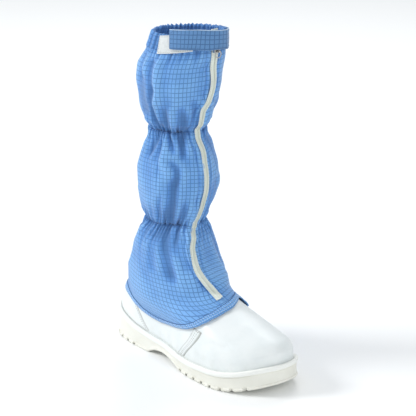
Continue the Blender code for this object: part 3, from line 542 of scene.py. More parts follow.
def beside_upper(angle, height, lift):
    """Points moved out level from the upper's face until they clear it by a lift."""
    column = np.mod(angle, 2 * pi) / (2 * pi) * PRINT_ANGLES
    left = column.astype(int) % PRINT_ANGLES
    t = (column - column.astype(int))[..., None]
    low = np.clip((height - PRINT_HEIGHTS[0]) / MM, 0, len(PRINT_HEIGHTS) - 2).astype(int)
    s = np.clip((height - PRINT_HEIGHTS[0]) / MM - low, 0, 1)[..., None]
    right = (left + 1) % PRINT_ANGLES
    below = mix(UPPER_PRINT[left, low], UPPER_PRINT[right, low], t)
    above = mix(UPPER_PRINT[left, low + 1], UPPER_PRINT[right, low + 1], t)
    spot = mix(below, above, s)
    flat = spot[..., 2:4]
    steep = np.maximum((flat**2).sum(-1, keepdims=True), LEAST_SLOPE)
    moved = spot[..., :2] + flat * lift / steep
    return moved, spot[..., 4]


def shaft_face(angle, height, share):
    """Smooth form of the shaft, over the upper below and as the leg above; share is 1 above the skirt."""
    point, normal = leg(angle, height)
    hem_point, collar = beside_upper(angle, height, HEM_LIFT)
    held, _ = beside_upper(angle, np.minimum(height, collar), HEM_LIFT)
    ahead = ((held - point[..., :2]) * normal[..., :2]).sum(-1)
    push = 0.5 * (ahead + np.sqrt(ahead * ahead + COLLAR_EASE**2))
    fade = 1 - ease((height - collar) / COLLAR_FADE)
    hung = point + normal * (push * fade)[..., None]
    close = (np.maximum(0.0, 1 - 2 * share) ** 2)[..., None]
    hung[..., :2] = mix(hung[..., :2], hem_point, close)
    return hung, normal


# Cloth: gathers and folds

def spread(seed, count, low, high):
    """Fixed run of uneven values."""
    source = random.Random(seed)
    return np.array([source.uniform(low, high) for _ in range(count)])


def valley(turn, seed, count, depth, sharpness, rise, reach):
    """Uneven pleats round the leg: how deep they sink, as they fade away from a sewn line."""
    wobble = sum(size * np.sin(waves * turn + seeds * seed) for size, waves, seeds in PLEAT_WOBBLE)
    place = count * turn / (2 * pi) + (wobble + PLEAT_LEAN * rise * np.sin(5 * turn + seed))
    index = np.rint(place).astype(int)
    off = np.abs(place - index) * 2
    pick = index % count
    depths = spread(seed, count, 0.35, 1.0)[pick] * depth
    reaches = spread(seed + 1, count, 0.5, 1.5)[pick] * reach
    return depths * (1 - off) ** sharpness * np.exp(-((np.abs(rise) / reaches) ** PLEAT_FADE))


def gathers(angle, height):
    """How far the cloth sinks into the pleats of both gathers, and the shade that gathers in them."""
    turn = np.mod(angle - zip_angle(height), 2 * pi)
    beside = ease((np.minimum(turn, 2 * pi - turn) - PLEATS_START) / PLEATS_RUN)
    sunk, dark = np.zeros_like(height), np.zeros_like(height)
    for order, (line, up, down) in enumerate(GATHERS):
        rise = height - line - LINE_RISE * hump(turn - 2 * pi, 0.5) - LINE_SWAY * np.sin(2 * turn)
        reach_share = np.where(rise > 0, up, down)
        for count, depth, reach, sharpness, shade in PLEATS:
            above, below = (
                valley(turn, 11 * order + count + more, count, depth, sharpness, rise, reach * reach_share)
                for more in (0, 5)
            )
            both = mix(below, above, ease(rise / SEW_WIDTH + 0.5)) * beside
            sunk, dark = sunk + both, dark + both * shade
        pinch = PINCH_DEPTH * hump(rise, PINCH_WIDTH)
        pinch = pinch - PUFF_DEPTH * hump(np.abs(rise) - PUFF_PLACE, PUFF_WIDTH)
        sunk = sunk + pinch * mix(0.35, 1.0, beside) - PLEAT_BULGE * hump(rise, BULGE_REACH) * beside
    return sunk, dark


def folds(angle, height):
    """How far the cloth sinks into its folds, and rises beside them."""
    radius = leg_half_length(height) * 0.9
    sunk = np.zeros_like(height)
    for start, low, end, high, width, depth, ridge in FOLDS:
        arc = (np.mod(angle - radians(start) + pi, 2 * pi) - pi) * radius
        run_arc, run_height = radians((end - start + 180) % 360 - 180) * FOLD_RADIUS, high - low
        length = sqrt(run_arc**2 + run_height**2)
        forward = (arc * run_arc + (height - low) * run_height) / length
        aside = (arc * -run_height + (height - low) * run_arc) / length
        turned = aside * (1 if run_height < 0 else -1)
        taper = ease((forward + FOLD_END) / FOLD_FADE) * ease((length + FOLD_END - forward) / FOLD_FADE)
        crest = hump(turned - RIDGE_PLACE * width * (1 if ridge > 0 else -1), RIDGE_WIDTH * width)
        sunk = sunk + FOLD_DEPTH * depth * taper * (hump(turned, width) - abs(ridge) * crest)
    return sunk


def swells(angle, height):
    """Soft unevenness of the cloth."""
    total = 0.0
    for depth, *waves in SWELLS:
        first, second = (np.sin(turns * angle + rises * height + start) for turns, rises, start in waves)
        total = total + depth * (first * second)
    return total


def placket(angle, height):
    """Folded edges of the cloth beside the zip, as a rise."""
    away = from_zip(angle, height) * leg_half_length(height)
    return sum(rise * hump(away - place, width) for place, width, rise in PLACKET)


def shaft_cloth(angle, height, share):
    """Finished face of the shaft with its folds, and the painted shade of each place: darker in folds and
    pleats, lighter on ridges.
    """
    base, normal = shaft_face(angle, height, share)
    casing = BOOT_HEIGHT - CASING_HEIGHT
    from_hem = ease((height - hem_height(angle) - HEM_FLAT) / HEM_FADE)
    under_casing = 1 - ease((height - (casing - CASING_FADE)) / CASING_FADE)
    top_pleats = valley(angle, *TOP_PLEATS, casing - height, TOP_PLEAT_REACH)
    beside = ease((from_zip(angle, height) - PLEATS_START) / TOP_PLEATS_RUN)
    pleated, dark = gathers(angle, height)
    sunk = pleated * from_hem + folds(angle, height) * from_hem * under_casing
    sunk = sunk + swells(angle, height) * from_hem * under_casing + top_pleats * beside
    sunk = sunk - placket(angle, height)
    # The second value is painted shade: the cloth's sinking, the gathers' shade and the shade of the pleats
    # under the casing.
    return base - normal * sunk[..., None], sunk + dark + 1.2 * top_pleats * beside


# Pieces from grids

# Stitches of each seam: length, gap and thickness
UPPER_STITCH = (0.0022, 0.0011, 0.0008)
GATHER_STITCH = (0.0020, 0.0010, 0.0006)
CASING_STITCH = (0.0022, 0.0012, 0.0005)
STRAP_STITCH = (0.0020, 0.0011, 0.0005)
PATCH_STITCH = (0.0018, 0.0010, 0.0005)
ZIP_STITCH = (0.0020, 0.0011, 0.00045)
STITCH_FLATNESS = 0.42
# Corners of one face that lie closer than this are joined
WELD = 0.00002
FINE_WELD = 0.00001


def formed(points, cloth=None):
    """A grid whose corners are placed by an array of points; cloth holds a value for each corner."""
    rows, columns = points.shape[0] - 1, points.shape[1] - 1
    shape = bmesh.new()
    bmesh.ops.create_grid(shape, x_segments=columns, y_segments=rows, size=1)
    layer = shape.verts.layers.float_vector.new("cloth") if cloth is not None else None
    for vert in shape.verts:
        across = round((vert.co.x + 1) / 2 * columns)
        up = round((vert.co.y + 1) / 2 * rows)
        vert.co = points[up, across]
        if layer is not None:
            vert[layer] = cloth[up, across]
    return shape


def piece(name, shape, finish, body="boot", stands_for=(), weld=0.0, outward_from=None):
    """Object of a bmesh, faces out, riding on a body."""
    if weld:
        bmesh.ops.remove_doubles(shape, verts=shape.verts, dist=weld)
    bmesh.ops.recalc_face_normals(shape, faces=shape.faces)
    if outward_from is not None:
        centre = Vector(outward_from)
        facing = sum(
            face.normal.dot(face.calc_center_median() - centre) * face.calc_area() for face in shape.faces
        )
        if facing < 0:
            bmesh.ops.reverse_faces(shape, faces=shape.faces)
    mesh = bpy.data.meshes.new(name)
    shape.to_mesh(mesh)
    shape.free()
    mesh.shade_smooth()
    mesh.materials.append(finish)
    made = bpy.data.objects.new(name, mesh)
    bpy.context.scene.collection.objects.link(made)
    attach(made, body)
    for node in stands_for:
        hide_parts(node)
    return made


def thicken(made, thickness, offset=-1.0):
    """Give a sheet its real thickness."""
    wall = made.modifiers.new("Wall", "SOLIDIFY")
    wall.thickness = thickness
    wall.offset = offset
    return made


def add_stitches(shape, path, normals, size):
    """Raised stitches laid along a path on a face; size holds their length, gap and thickness."""
    length, gap, thick = size
    run = lengths(path)
    form = Matrix.Diagonal((length / 2, thick / 2, thick * STITCH_FLATNESS, 1.0))
    for start in np.arange(gap, run[-1] - length, length + gap):
        ends = [at_length(at, run, path) for at in (start, start + length)]
        out = Vector(at_length(start + length / 2, run, normals)).normalized()
        along = Vector(ends[1] - ends[0]).normalized()
        turn = Matrix((along, out.cross(along).normalized(), out)).transposed().to_4x4()
        place = Matrix.Translation(Vector((ends[0] + ends[1]) / 2))
        bead(shape, place @ turn @ form)


def bead(shape, place):
    """One small rounded body, at a place of its own size."""
    bmesh.ops.create_uvsphere(shape, u_segments=6, v_segments=4, radius=1.0, matrix=place)


# Shader maths

class Value:
    """A number in a material's nodes; arithmetic on it adds the Math nodes."""

    def __init__(self, paint, socket):
        self.paint, self.socket = paint, socket

    def math(self, operation, first, second=None):
        values = {0: first} if second is None else {0: first, 1: second}
        return self.paint.value("ShaderNodeMath", {"operation": operation}, values)

    def __add__(self, other):
        return self.math("ADD", self, other)

    __radd__ = __add__

    def __sub__(self, other):
        return self.math("SUBTRACT", self, other)

    def __rsub__(self, other):
        return self.math("SUBTRACT", other, self)

    def __mul__(self, other):
        return self.math("MULTIPLY", self, other)

    __rmul__ = __mul__

    def __truediv__(self, other):
        return self.math("DIVIDE", self, other)

    def sine(self):
        return self.math("SINE", self)

    def absolute(self):
        return self.math("ABSOLUTE", self)

    def fraction(self):
        return self.math("FRACT", self)

    def step(self, low, high):
        """1 where the value is at or past high, 0 at or before low, soft between; low may be the larger."""
        ranges = {"From Min": low, "From Max": high, "Value": self}
        return self.paint.value("ShaderNodeMapRange", {"interpolation_type": "SMOOTHSTEP"}, ranges)


class Paint:
    """A material with its Principled shader, and the nodes that feed it."""

    def __init__(self, name, **constants):
        self.material = bpy.data.materials.new(name)
        self.material.use_nodes = True
        self.tree = self.material.node_tree
        self.shader = self.tree.nodes["Principled BSDF"]
        for key, value in constants.items():
            self.shader.inputs[key.replace("_", " ")].default_value = value

    def node(self, kind, settings=None, values=None):
        """A node with its settings, then the values or links of its sockets."""
        made = self.tree.nodes.new(kind)
        for key, value in (settings or {}).items():
            setattr(made, key, value)
        for key, value in (values or {}).items():
            socket = made.inputs[key]
            if isinstance(value, Value):
                value = value.socket
            if isinstance(value, bpy.types.NodeSocket):
                self.tree.links.new(value, socket)
            else:
                socket.default_value = value
        return made

    def value(self, kind, settings=None, values=None, output=0):
        """One output of a node, as a number."""
        return Value(self, self.node(kind, settings, values).outputs[output])

    def position(self):
        """Object coordinates."""
        return self.node("ShaderNodeTexCoord").outputs["Object"]

    def parts(self, vector):
        """The three numbers of a vector."""
        return [Value(self, part) for part in self.node("ShaderNodeSeparateXYZ", None, {0: vector}).outputs]

    def cloth(self):
        """Parts of a piece's stored cloth measures, and their vector."""
        vector = self.node("ShaderNodeAttribute", {"attribute_name": "cloth"}).outputs["Vector"]
        return self.parts(vector), vector

    def noise(self, vector, scale, detail=2.0, roughness=0.5):
        """Soft noise from 0 to 1."""
        values = {"Vector": vector, "Scale": scale, "Detail": detail, "Roughness": roughness}
        return self.value("ShaderNodeTexNoise", None, values)

    def blend(self, share, first, second):
        """Colour between two colours."""
        settings = {"data_type": "RGBA"}
        first = (*first, 1.0) if isinstance(first, tuple) else first
        second = (*second, 1.0) if isinstance(second, tuple) else second
        return self.node("ShaderNodeMix", settings, {0: share, 6: first, 7: second}).outputs[2]

    def bump(self, height, distance, strength=1.0):
        """Relief from a height."""
        values = {"Strength": strength, "Distance": distance, "Height": height}
        self.link("Normal", self.node("ShaderNodeBump", None, values).outputs[0])

    def link(self, name, source):
        """Feed one socket of the shader."""
        self.tree.links.new(source.socket if isinstance(source, Value) else source, self.shader.inputs[name])


GRID_PITCH = 0.0050
GRID_LINE = 0.00042
LINE_SOFT = 0.0003
GRID_DRIFT = 0.0012
WEAVE_PITCH = 0.0009
RIB_PITCH = 0.0008
PICK_PITCH = 0.0007
TAPE_SEAM_PITCH = 0.0027
TAPE_SEAM_HALF = 0.00016
TAPE_SEAM_SOFT = 0.00018


def darker(colour, share):
    """A colour dimmed to a share."""
    return tuple(part * share for part in colour)


def line_mask(coordinate, pitch, half, soft):
    """1 on lines that repeat at a pitch."""
    off = ((coordinate / pitch).fraction() - 0.5).absolute() * pitch
    return off.step(half + soft, half * 0.4)


def cloth_finish(name, light, base, line, rough=0.72):
    """Woven cloth with a grid of darker threads, and painted shade read from the cloth's stored shade value:
    darker in folds and pleats, lighter on ridges.
    """
    paint = Paint(name, Roughness=rough, Sheen_Weight=0.25, Sheen_Roughness=0.5, Specular_IOR_Level=0.3)
    (across, up, depth), vector = paint.cloth()
    drift = (paint.noise(vector, 60.0, 1.0) - 0.5) * GRID_DRIFT
    across, up = across + drift, up + drift * 0.7
    lines = paint.value("ShaderNodeMath", {"operation": "MAXIMUM"}, {
        order: line_mask(place, GRID_PITCH, GRID_LINE, LINE_SOFT) for order, place in enumerate((across, up))
    })
    patchy = paint.noise(vector, 420.0, 2.0)
    lines = lines * (patchy * 0.5 + 0.62)
    broad = paint.noise(vector, 22.0, 3.0)
    weave = (across * (2 * pi / WEAVE_PITCH)).sine() * (up * (2 * pi / WEAVE_PITCH)).sine()
    # Painted shade: the colour moves from light to base with the stored shade value (folds and pleats darker,
    # ridges lighter); the broad noise adds random tone.
    shade = broad.step(0.30, 0.70) * 0.40 + depth * 240.0 + 0.10
    colour = paint.blend(shade.step(0.0, 1.0), light, base)
    # Painted shade: the deepest folds and pleats darken further towards a dimmed base colour.
    colour = paint.blend(depth.step(0.0016, 0.0060) * 0.70, colour, darker(base, 0.50))
    colour = paint.blend(weave * 0.05 + 0.05, colour, darker(base, 0.72))
    colour = paint.blend(lines * 0.85, colour, line)
    paint.link("Base Color", colour)
    paint.link("Roughness", rough + (patchy - 0.5) * 0.12)
    paint.bump(weave * 0.3 - lines * 0.5 + paint.noise(vector, 150.0, 3.0) * 1.6, 0.00022, 0.8)
    return paint.material


def upper_finish(name):
    """Smooth coated microfibre, white, with a fine grain, light marks near the sole and painted shadow along
    the edges of the overlays.
    """
    paint = Paint(name, Roughness=0.38, Coat_Weight=0.15, Coat_Roughness=0.3, Specular_IOR_Level=0.45)
    place = paint.position()
    cells = {"Vector": place, "Scale": 900.0}
    grain = paint.value("ShaderNodeTexVoronoi", {"feature": "DISTANCE_TO_EDGE"}, cells)
    cloudy = paint.noise(place, 35.0, 3.0)
    height = paint.parts(place)[2]
    low = height.step(0.050, 0.022) * paint.noise(place, 120.0, 3.0).step(0.45, 0.75)
    colour = paint.blend(cloudy.step(0.35, 0.70), (0.790, 0.825, 0.822), (0.745, 0.790, 0.790))
    colour = paint.blend(low * 0.30, colour, (0.62, 0.64, 0.60))
    # Painted shadow along the overlays' edges, from the cloth attribute's third value.
    (_, _, seam), _ = paint.cloth()
    paint.link("Base Color", paint.blend(seam, colour, (0.36, 0.37, 0.35)))
    paint.link("Roughness", 0.34 + cloudy * 0.12)
    paint.bump(grain.step(0.0, 0.25) * 0.5 + paint.noise(place, 240.0, 3.0) * 0.8, 0.00012, 0.6)
    return paint.material


def sole_finish(name):
    """Moulded polyurethane, cream below the lip, with faint flow marks and scuffs at its edges."""
    paint = Paint(name, Roughness=0.55, Specular_IOR_Level=0.4)
    place = paint.position()
    (_, _, lip_share), _ = paint.cloth()
    cloudy = paint.noise(place, 26.0, 4.0)
    speck = paint.noise(place, 700.0, 2.0)
    height = paint.parts(place)[2]
    dirt = height.step(0.012, 0.0) * paint.noise(place, 90.0, 4.0).step(0.40, 0.72)
    colour = paint.blend(cloudy.step(0.3, 0.7), (0.800, 0.800, 0.735), (0.770, 0.768, 0.695))
    colour = paint.blend(lip_share, colour, (0.850, 0.865, 0.832))
    colour = paint.blend(dirt * 0.4, colour, (0.56, 0.54, 0.47))
    paint.link("Base Color", colour)
    paint.link("Roughness", 0.50 + cloudy * 0.14)
    paint.bump(speck * 0.6 + cloudy, 0.00018, 0.7)
    return paint.material


def thread_finish(name, colour):
    """Twisted sewing thread."""
    paint = Paint(name, Roughness=0.6, Sheen_Weight=0.2)
    place = paint.position()
    twist = paint.noise(place, 1500.0, 1.0)
    paint.link("Base Color", paint.blend(twist, colour, darker(colour, 0.82)))
    paint.bump(twist, 0.0001, 0.6)
    return paint.material


def pile_finish(name):
    """Brushed loop pile."""
    paint = Paint(name, Roughness=0.92, Sheen_Weight=0.5, Specular_IOR_Level=0.2)
    place = paint.position()
    loops = paint.value("ShaderNodeTexVoronoi", None, {"Vector": place, "Scale": 1300.0})
    fuzz = paint.noise(place, 900.0, 3.0)
    paint.link("Base Color", paint.blend(loops * 0.6 + fuzz * 0.3, (0.86, 0.89, 0.89), (0.70, 0.75, 0.76)))
    paint.bump(loops + fuzz, 0.0006, 1.0)
    return paint.material


def tape_finish(name):
    """Zip tape with fine ribs along it."""
    paint = Paint(name, Roughness=0.68, Sheen_Weight=0.15)
    (across, up, _), vector = paint.cloth()
    ribs = (across * (2 * pi / RIB_PITCH)).sine()
    picks = (up * (2 * pi / PICK_PITCH)).sine()
    seam = line_mask(across + TAPE_SEAM_PITCH / 2, TAPE_SEAM_PITCH, TAPE_SEAM_HALF, TAPE_SEAM_SOFT)
    colour = paint.blend(ribs * 0.12 + 0.15, (0.90, 0.95, 0.87), (0.80, 0.85, 0.76))
    colour = paint.blend(seam * 0.40, colour, (0.58, 0.64, 0.55))
    paint.link("Base Color", colour)
    paint.bump(ribs * 0.6 + picks * 0.35 + paint.noise(vector, 300.0), 0.00020, 0.9)
    return paint.material


def plastic_finish(name, colour, rough):
    """Moulded nylon."""
    paint = Paint(name, Roughness=rough, Specular_IOR_Level=0.5)
    place = paint.position()
    cloudy = paint.noise(place, 400.0, 2.0)
    paint.link("Base Color", paint.blend(cloudy, colour, darker(colour, 0.9)))
    paint.link("Roughness", rough + cloudy * 0.1)
    return paint.material


def metal_finish(name):
    """Nickel plate with fine wear."""
    paint = Paint(name, Roughness=0.24, Metallic=1.0)
    place = paint.position()
    wear = paint.noise(place, 800.0, 3.0)
    paint.link("Base Color", paint.blend(wear.step(0.4, 0.7), (0.56, 0.55, 0.52), (0.42, 0.41, 0.38)))
    paint.link("Roughness", 0.20 + wear * 0.18)
    paint.bump(wear, 0.00006, 0.5)
    return paint.material


def felt_finish(name):
    """Needled felt of the footbed."""
    paint = Paint(name, Roughness=0.95, Sheen_Weight=0.3)
    place = paint.position()
    fibre = paint.noise(place, 500.0, 4.0, 0.7)
    paint.link("Base Color", paint.blend(fibre, (0.62, 0.63, 0.60), (0.47, 0.48, 0.46)))
    paint.bump(fibre, 0.0005, 0.8)
    return paint.material


# What a user would change

def colour_setting(name, description, default):
    """A colour that a user can change."""
    return bpy.props.FloatVectorProperty(
        name=name, description=description, default=default, subtype="COLOR", min=0.0, max=1.0,
    )


def length_setting(name, description, default, low, high):
    """A length that a user can change."""
    return bpy.props.FloatProperty(
        name=name, description=description, default=default, min=low, max=high, unit="LENGTH",
    )


class BootSettings(bpy.types.PropertyGroup):
    """Colours and cloth sizes of the boot."""

    # The first colour is the cloth's own colour on raised cloth; the second (sunk cloth) is that colour
    # dimmed as painted shade for folds and pleats, and it also gives random tone.
    cloth_light: colour_setting("Cloth, raised", "Colour of the cloth on its bulges", (0.200, 0.440, 0.800))
    cloth_shade_and_tone: colour_setting("Cloth, sunk", "Colour of the cloth in its folds", (0.105, 0.290, 0.660))
    cloth_line: colour_setting("Grid threads", "Colour of the conductive grid", (0.050, 0.145, 0.370))
    strap_light: colour_setting("Strap", "Colour of the strap's cloth", (0.120, 0.275, 0.540))
    cloth_thickness: length_setting("Cloth thickness", "Thickness of the cloth", 0.0008, 0.0003, 0.002)
    stitch_length: length_setting("Stitch length", "Length of one stitch of the hem", 0.0022, 0.001, 0.006)


def settings():
    """The boot's settings in the scene."""
    return bpy.context.scene.boot_settings


def grid_cloth(name):
    """The gaiter's cloth in the chosen colours."""
    chosen = settings()
    colours = (chosen.cloth_light, chosen.cloth_shade_and_tone, chosen.cloth_line)
    return cloth_finish(name, *(tuple(colour) for colour in colours))


# Sole

SOLE_PROFILE = (
    # inset, height share, offset, brightness
    (0.0022, 0.0, 0.0000, 0.0), (0.0010, 0.0, 0.0004, 0.0), (0.0003, 0.0, 0.0012, 0.0),
    (0.0000, 0.0, 0.0022, 0.0), (0.0000, 0.0, 0.0030, 0.0), (0.0004, 0.0, 0.0037, 0.0),
    (0.0012, 0.0, 0.0044, 0.0), (0.0015, 0.1, 0.0040, 0.0), (0.0020, 0.5, 0.0000, 0.0),
    (0.0016, 1.0, -0.0095, 0.0), (0.0015, 1.0, -0.0078, 0.0), (0.0019, 1.0, -0.0071, 0.0),
    (0.0006, 1.0, -0.0064, 0.6), (0.0001, 1.0, -0.0057, 1.0), (0.0000, 1.0, -0.0045, 1.0),
    (0.0000, 1.0, -0.0020, 1.0), (0.0004, 1.0, -0.0008, 1.0), (0.0012, 1.0, -0.0001, 1.0),
    (0.0024, 1.0, 0.0001, 1.0), (0.0040, 1.0, -0.0002, 1.0), (0.0050, 1.0, -0.0008, 1.0),
)


def groove_places():
    """Middles of the tread's grooves along the sole."""
    for start, end in TREAD_FLATS:
        first, last = start * SOLE_LENGTH - HALF_LENGTH, end * SOLE_LENGTH - HALF_LENGTH
        yield from np.arange(first, last + MM, TREAD_PITCH)


def tread_rise(x):
    """How far the tread's grooves cut up into the sole."""
    rise = np.zeros_like(x)
    for groove in groove_places():
        inside = TREAD_GROOVE / 2 + GROOVE_SLOPE / 2 - np.abs(x - groove)
        rise = np.maximum(rise, TREAD_DEPTH * ease(inside / GROOVE_SLOPE))
    return rise


def sole_stations():
    """Shares of the half turn, close together at the edges of the tread's grooves."""
    shares = list(np.linspace(0.0, 1.0, 161))
    for groove in groove_places():
        for edge in (-TREAD_GROOVE / 2, TREAD_GROOVE / 2):
            for off in (-GROOVE_SLOPE / 2, 0.0, GROOVE_SLOPE / 2):
                place = groove + edge + off + HALF_LENGTH
                shares.append(float(np.arccos(1 - 2 * place / SOLE_LENGTH) / pi))
    return np.array(sorted(shares))


class BootSole(bpy.types.Operator):
    """Moulded sole with its lip, stepped side and tread"""

    bl_idname = "boot.sole"
    bl_label = "Sole"

    def execute(self, context):
        shares = sole_stations()
        angles = np.concatenate((shares * pi, 2 * pi - shares[::-1][1:] * pi))
        rows, bright = [], []
        for inset, height_share, offset, lit in SOLE_PROFILE:
            x, y = inset_outline(angles, inset)
            cut = tread_rise(x) * (1 - ease((offset - GROOVE_FULL) / GROOVE_FADE)) * (1 - height_share)
            rows.append(stack(x, y, mix(ground(x) + cut, lip(x), height_share) + offset))
            bright.append(stack(0 * x, 0 * x, 0 * x + lit))
        x, y = inset_outline(angles, LIP_WIDTH)
        rows.append(stack(x, y, recess(x)))
        bright.append(bright[-1])
        finish = sole_finish("sole_polyurethane")
        wall = formed(np.array(rows), np.array(bright))
        half = len(shares)
        for row in (rows[0], rows[-1]):
            outer, inner = row[:half], row[half - 1:][::-1]
            across = np.linspace(0.0, 1.0, 9)[:, None, None]
            bottom = mix(outer[None], inner[None], across)
            cap = formed(bottom, np.zeros(bottom.shape))
            mesh = bpy.data.meshes.new("cap")
            cap.to_mesh(mesh)
            cap.free()
            wall.from_mesh(mesh)
            bpy.data.meshes.remove(mesh)
        sole = piece("sole_unit", wall, finish, stands_for=["outsole"], weld=WELD)
        sole.data.set_sharp_from_angle(angle=radians(40))
        frame["nodes"]["insole"].data.materials.clear()
        frame["nodes"]["insole"].data.materials.append(felt_finish("insole_felt"))
        return {"FINISHED"}


# Upper

OVERLAY_RADIUS = 0.045
OVERLAY_PROUD = 0.0010
OVERLAY_SUNK = 0.0003
OVERLAY_ROUND = 0.0007
OVERLAY_SHADE = 0.0016
STITCH_INSET = 0.0022
UPPER_UNEVEN = 0.00025
COLLAR_ROLL = 0.0007
TAB_TOP_LEVEL = 4.35
TAB_TOPS = (
    # start, end
    (0.594, 0.631), (1.369, 1.406),
)


class BootUpper(bpy.types.Operator):
    """Lasted upper with its overlays and seams"""

    bl_idname = "boot.upper"
    bl_label = "Upper"

    def execute(self, context):
        finish = upper_finish("upper_microfibre")
        angles = np.linspace(0.0, 2 * pi, 321)
        levels = np.concatenate((np.linspace(0.3, 1.0, 4)[:-1], np.linspace(1.0, UPPER_TOP, 97)))
        turn, level = np.meshgrid(angles, levels)
        lift = np.zeros_like(turn)
        for start, end, place, width, depth in FLEX_CREASES:
            share = (turn / pi - start) / (end - start)
            away = level - (place + 0.8 * share + 0.15 * np.sin(7 * share))
            inside = ease(share * 4) * ease((1 - share) * 4)
            lift = lift - depth * inside * (hump(away, width) - 0.5 * hump(away - 2 * width, width))
        lift = lift + UPPER_UNEVEN * np.sin(5 * turn + 2 * level) * np.sin(3 * turn - level) * ease(level - 1)
        outer, _ = upper_face(turn, level, lift)
        inner, _ = upper_face(turn, level, lift - UPPER_WALL)
        middle, _ = upper_face(angles, UPPER_TOP, -UPPER_WALL / 2)
        middle[..., 2] += COLLAR_ROLL
        loop = np.concatenate((outer, middle[None], inner[::-1], outer[:1]))
        piece("upper_shell", formed(loop), finish, stands_for=["upper"], weld=WELD)
        over = upper_finish("overlay_microfibre")
        thread = bmesh.new()
        for name, *edges, top in OVERLAYS:
            self.overlay(name, edges, top, over, thread)
        for start, end in TAB_TOPS:
            path, normal = upper_face(np.linspace(start, end, 9) * pi, TAB_TOP_LEVEL, OVERLAY_PROUD)
            add_stitches(thread, path, normal, UPPER_STITCH)
        piece("upper_stitches", thread, thread_finish("upper_thread", (0.40, 0.41, 0.39)))
        return {"FINISHED"}

    def overlay(self, name, edges, top, finish, thread):
        """One overlay with rounded edges, painted shadow along them, and its stitches."""
        down = np.linspace(0.0, 1.0, 61)
        across = np.linspace(0.0, 1.0, 91 if edges[1] - edges[0] > 0.1 else 13)
        share, side = np.meshgrid(down, across, indexing="ij")
        start, end = mix(edges[0], edges[2], share) * pi, mix(edges[1], edges[3], share) * pi
        turn = mix(start, end, side)
        away = np.minimum(side, 1 - side) * (end - start) * OVERLAY_RADIUS
        lift = mix(-OVERLAY_SUNK, OVERLAY_PROUD, ease(away / OVERLAY_ROUND)) * ease((1 - share) * 60 + 0.3)
        points, _ = upper_face(turn, mix(OVERLAY_FOOT, top, share), lift)
        # Painted shadow: a dark strip along the overlay's side edges and its top edge, where the raised edge
        # casts shade, stored in the cloth attribute.
        seam = ease(1 - away / OVERLAY_SHADE) * 0.95 + 0.8 * ease(1 - (1 - share) * 22)
        cloth = stack(turn * 0, turn * 0, np.minimum(seam, 0.9))
        piece(name + "_panel", formed(points, cloth), finish, stands_for=[name])
        for sign, edge in ((1, 0), (-1, 1)):
            edge_turn = mix(edges[edge], edges[edge + 2], down) * pi + sign * STITCH_INSET / OVERLAY_RADIUS
            path, normal = upper_face(edge_turn, mix(OVERLAY_FOOT, top, down), OVERLAY_PROUD)
            add_stitches(thread, path, normal, UPPER_STITCH)


# Shaft

# Panels of the shaft between its sewn lines
PANELS = (
    # name, lower height, upper height, rows, grid scale around, grid scale along
    ("shaft_skirt", 0.0, 0.1802, 118, 0.86, 0.94),
    ("shaft_middle", 0.1802, 0.3005, 112, 0.98, 0.98),
    ("shaft_top", 0.3005, 0.4030, 96, 1.06, 0.86),
)
SHAFT_COLUMNS = 400
CLOTH_ROUND = 0.334
# Limits of the painted shade value that the cloth stores, at the deepest fold and the highest ridge.
DEEPEST_FOLD = 0.009
HIGHEST_RIDGE = 0.002
# Angle at which a thread of the grid stands upright, as in the photograph
GRID_START = radians(130)
HEM_PROFILE = (
    # rise from the edge, lift
    (0.0078, 0.0000), (0.0082, 0.0003), (0.0080, 0.0007), (0.0074, 0.0010), (0.0040, 0.0010),
    (0.0008, 0.0010), (-0.0004, 0.0006), (-0.0008, 0.0000), (-0.0004, -0.0010), (0.0010, -0.0014),
    (0.0050, -0.0014),
)
# Rows of stitches in the hem, and the row that draws its upper edge
HEM_ROWS = (0.0022, 0.0060)
HEM_ROW_LIFT = 0.00115
HEM_ROW_SIZE = (0.0013, 0.0008)
HEM_EDGE = 0.0088
HEM_EDGE_LIFT = 0.0003
HEM_EDGE_SIZE = (0.0004, 0.0012)
HEM_RADIUS = 0.062
HEM_GRID_START = 0.002
GATHER_STITCH_START = 0.11
GATHER_STITCH_LIFT = 0.0001


def panel_points(low, high, rows):
    """Points and cloth measures of one panel of the shaft; the lowest starts at the hem."""
    turn = np.linspace(0.0, 2 * pi, SHAFT_COLUMNS + 1)
    share, level = np.full(rows, 1.0), np.linspace(low, high, rows)
    if low == 0.0:
        hung = int(rows * 0.6)
        share[:hung] = np.linspace(0.0, 1.0, hung)
        level = np.concatenate((np.zeros(hung), np.linspace(SKIRT_TOP, high, rows - hung + 1)[1:]))
    turn, share = np.meshgrid(turn, share)
    level = np.broadcast_to(level[:, None], turn.shape)
    height = np.where(level > 0, level, 0.0)
    angle = zip_angle(np.maximum(height, SKIRT_TOP * 0.8)) + turn
    if low == 0.0:
        for _ in range(3):
            height = np.where(level > 0, level, mix(hem_height(angle), SKIRT_TOP, share))
            angle = zip_angle(height) + turn
    points, sunk = shaft_cloth(angle, height, share)
    base, normal = shaft_face(angle, height, share)
    return points, cloth_measures(base, normal, angle, height, sunk)


def hem_face(turn, rise, lift):
    """Points of the skirt near its edge, and their directions; the rise is measured along the cloth."""
    low = hem_height(turn)
    steps = np.linspace(0.0, 0.012, 25)[:, None]
    way, _ = shaft_face(turn + 0 * steps, low + steps, steps / (SKIRT_TOP - low))
    run = lengths(way)
    if rise > 0:
        rise = np.array([np.interp(rise, run[:, spot], steps[:, 0]) for spot in range(turn.size)])
    base, normal = shaft_face(turn, low + rise, np.maximum(rise / (SKIRT_TOP - low), 0.0))
    return base + normal * lift, normal


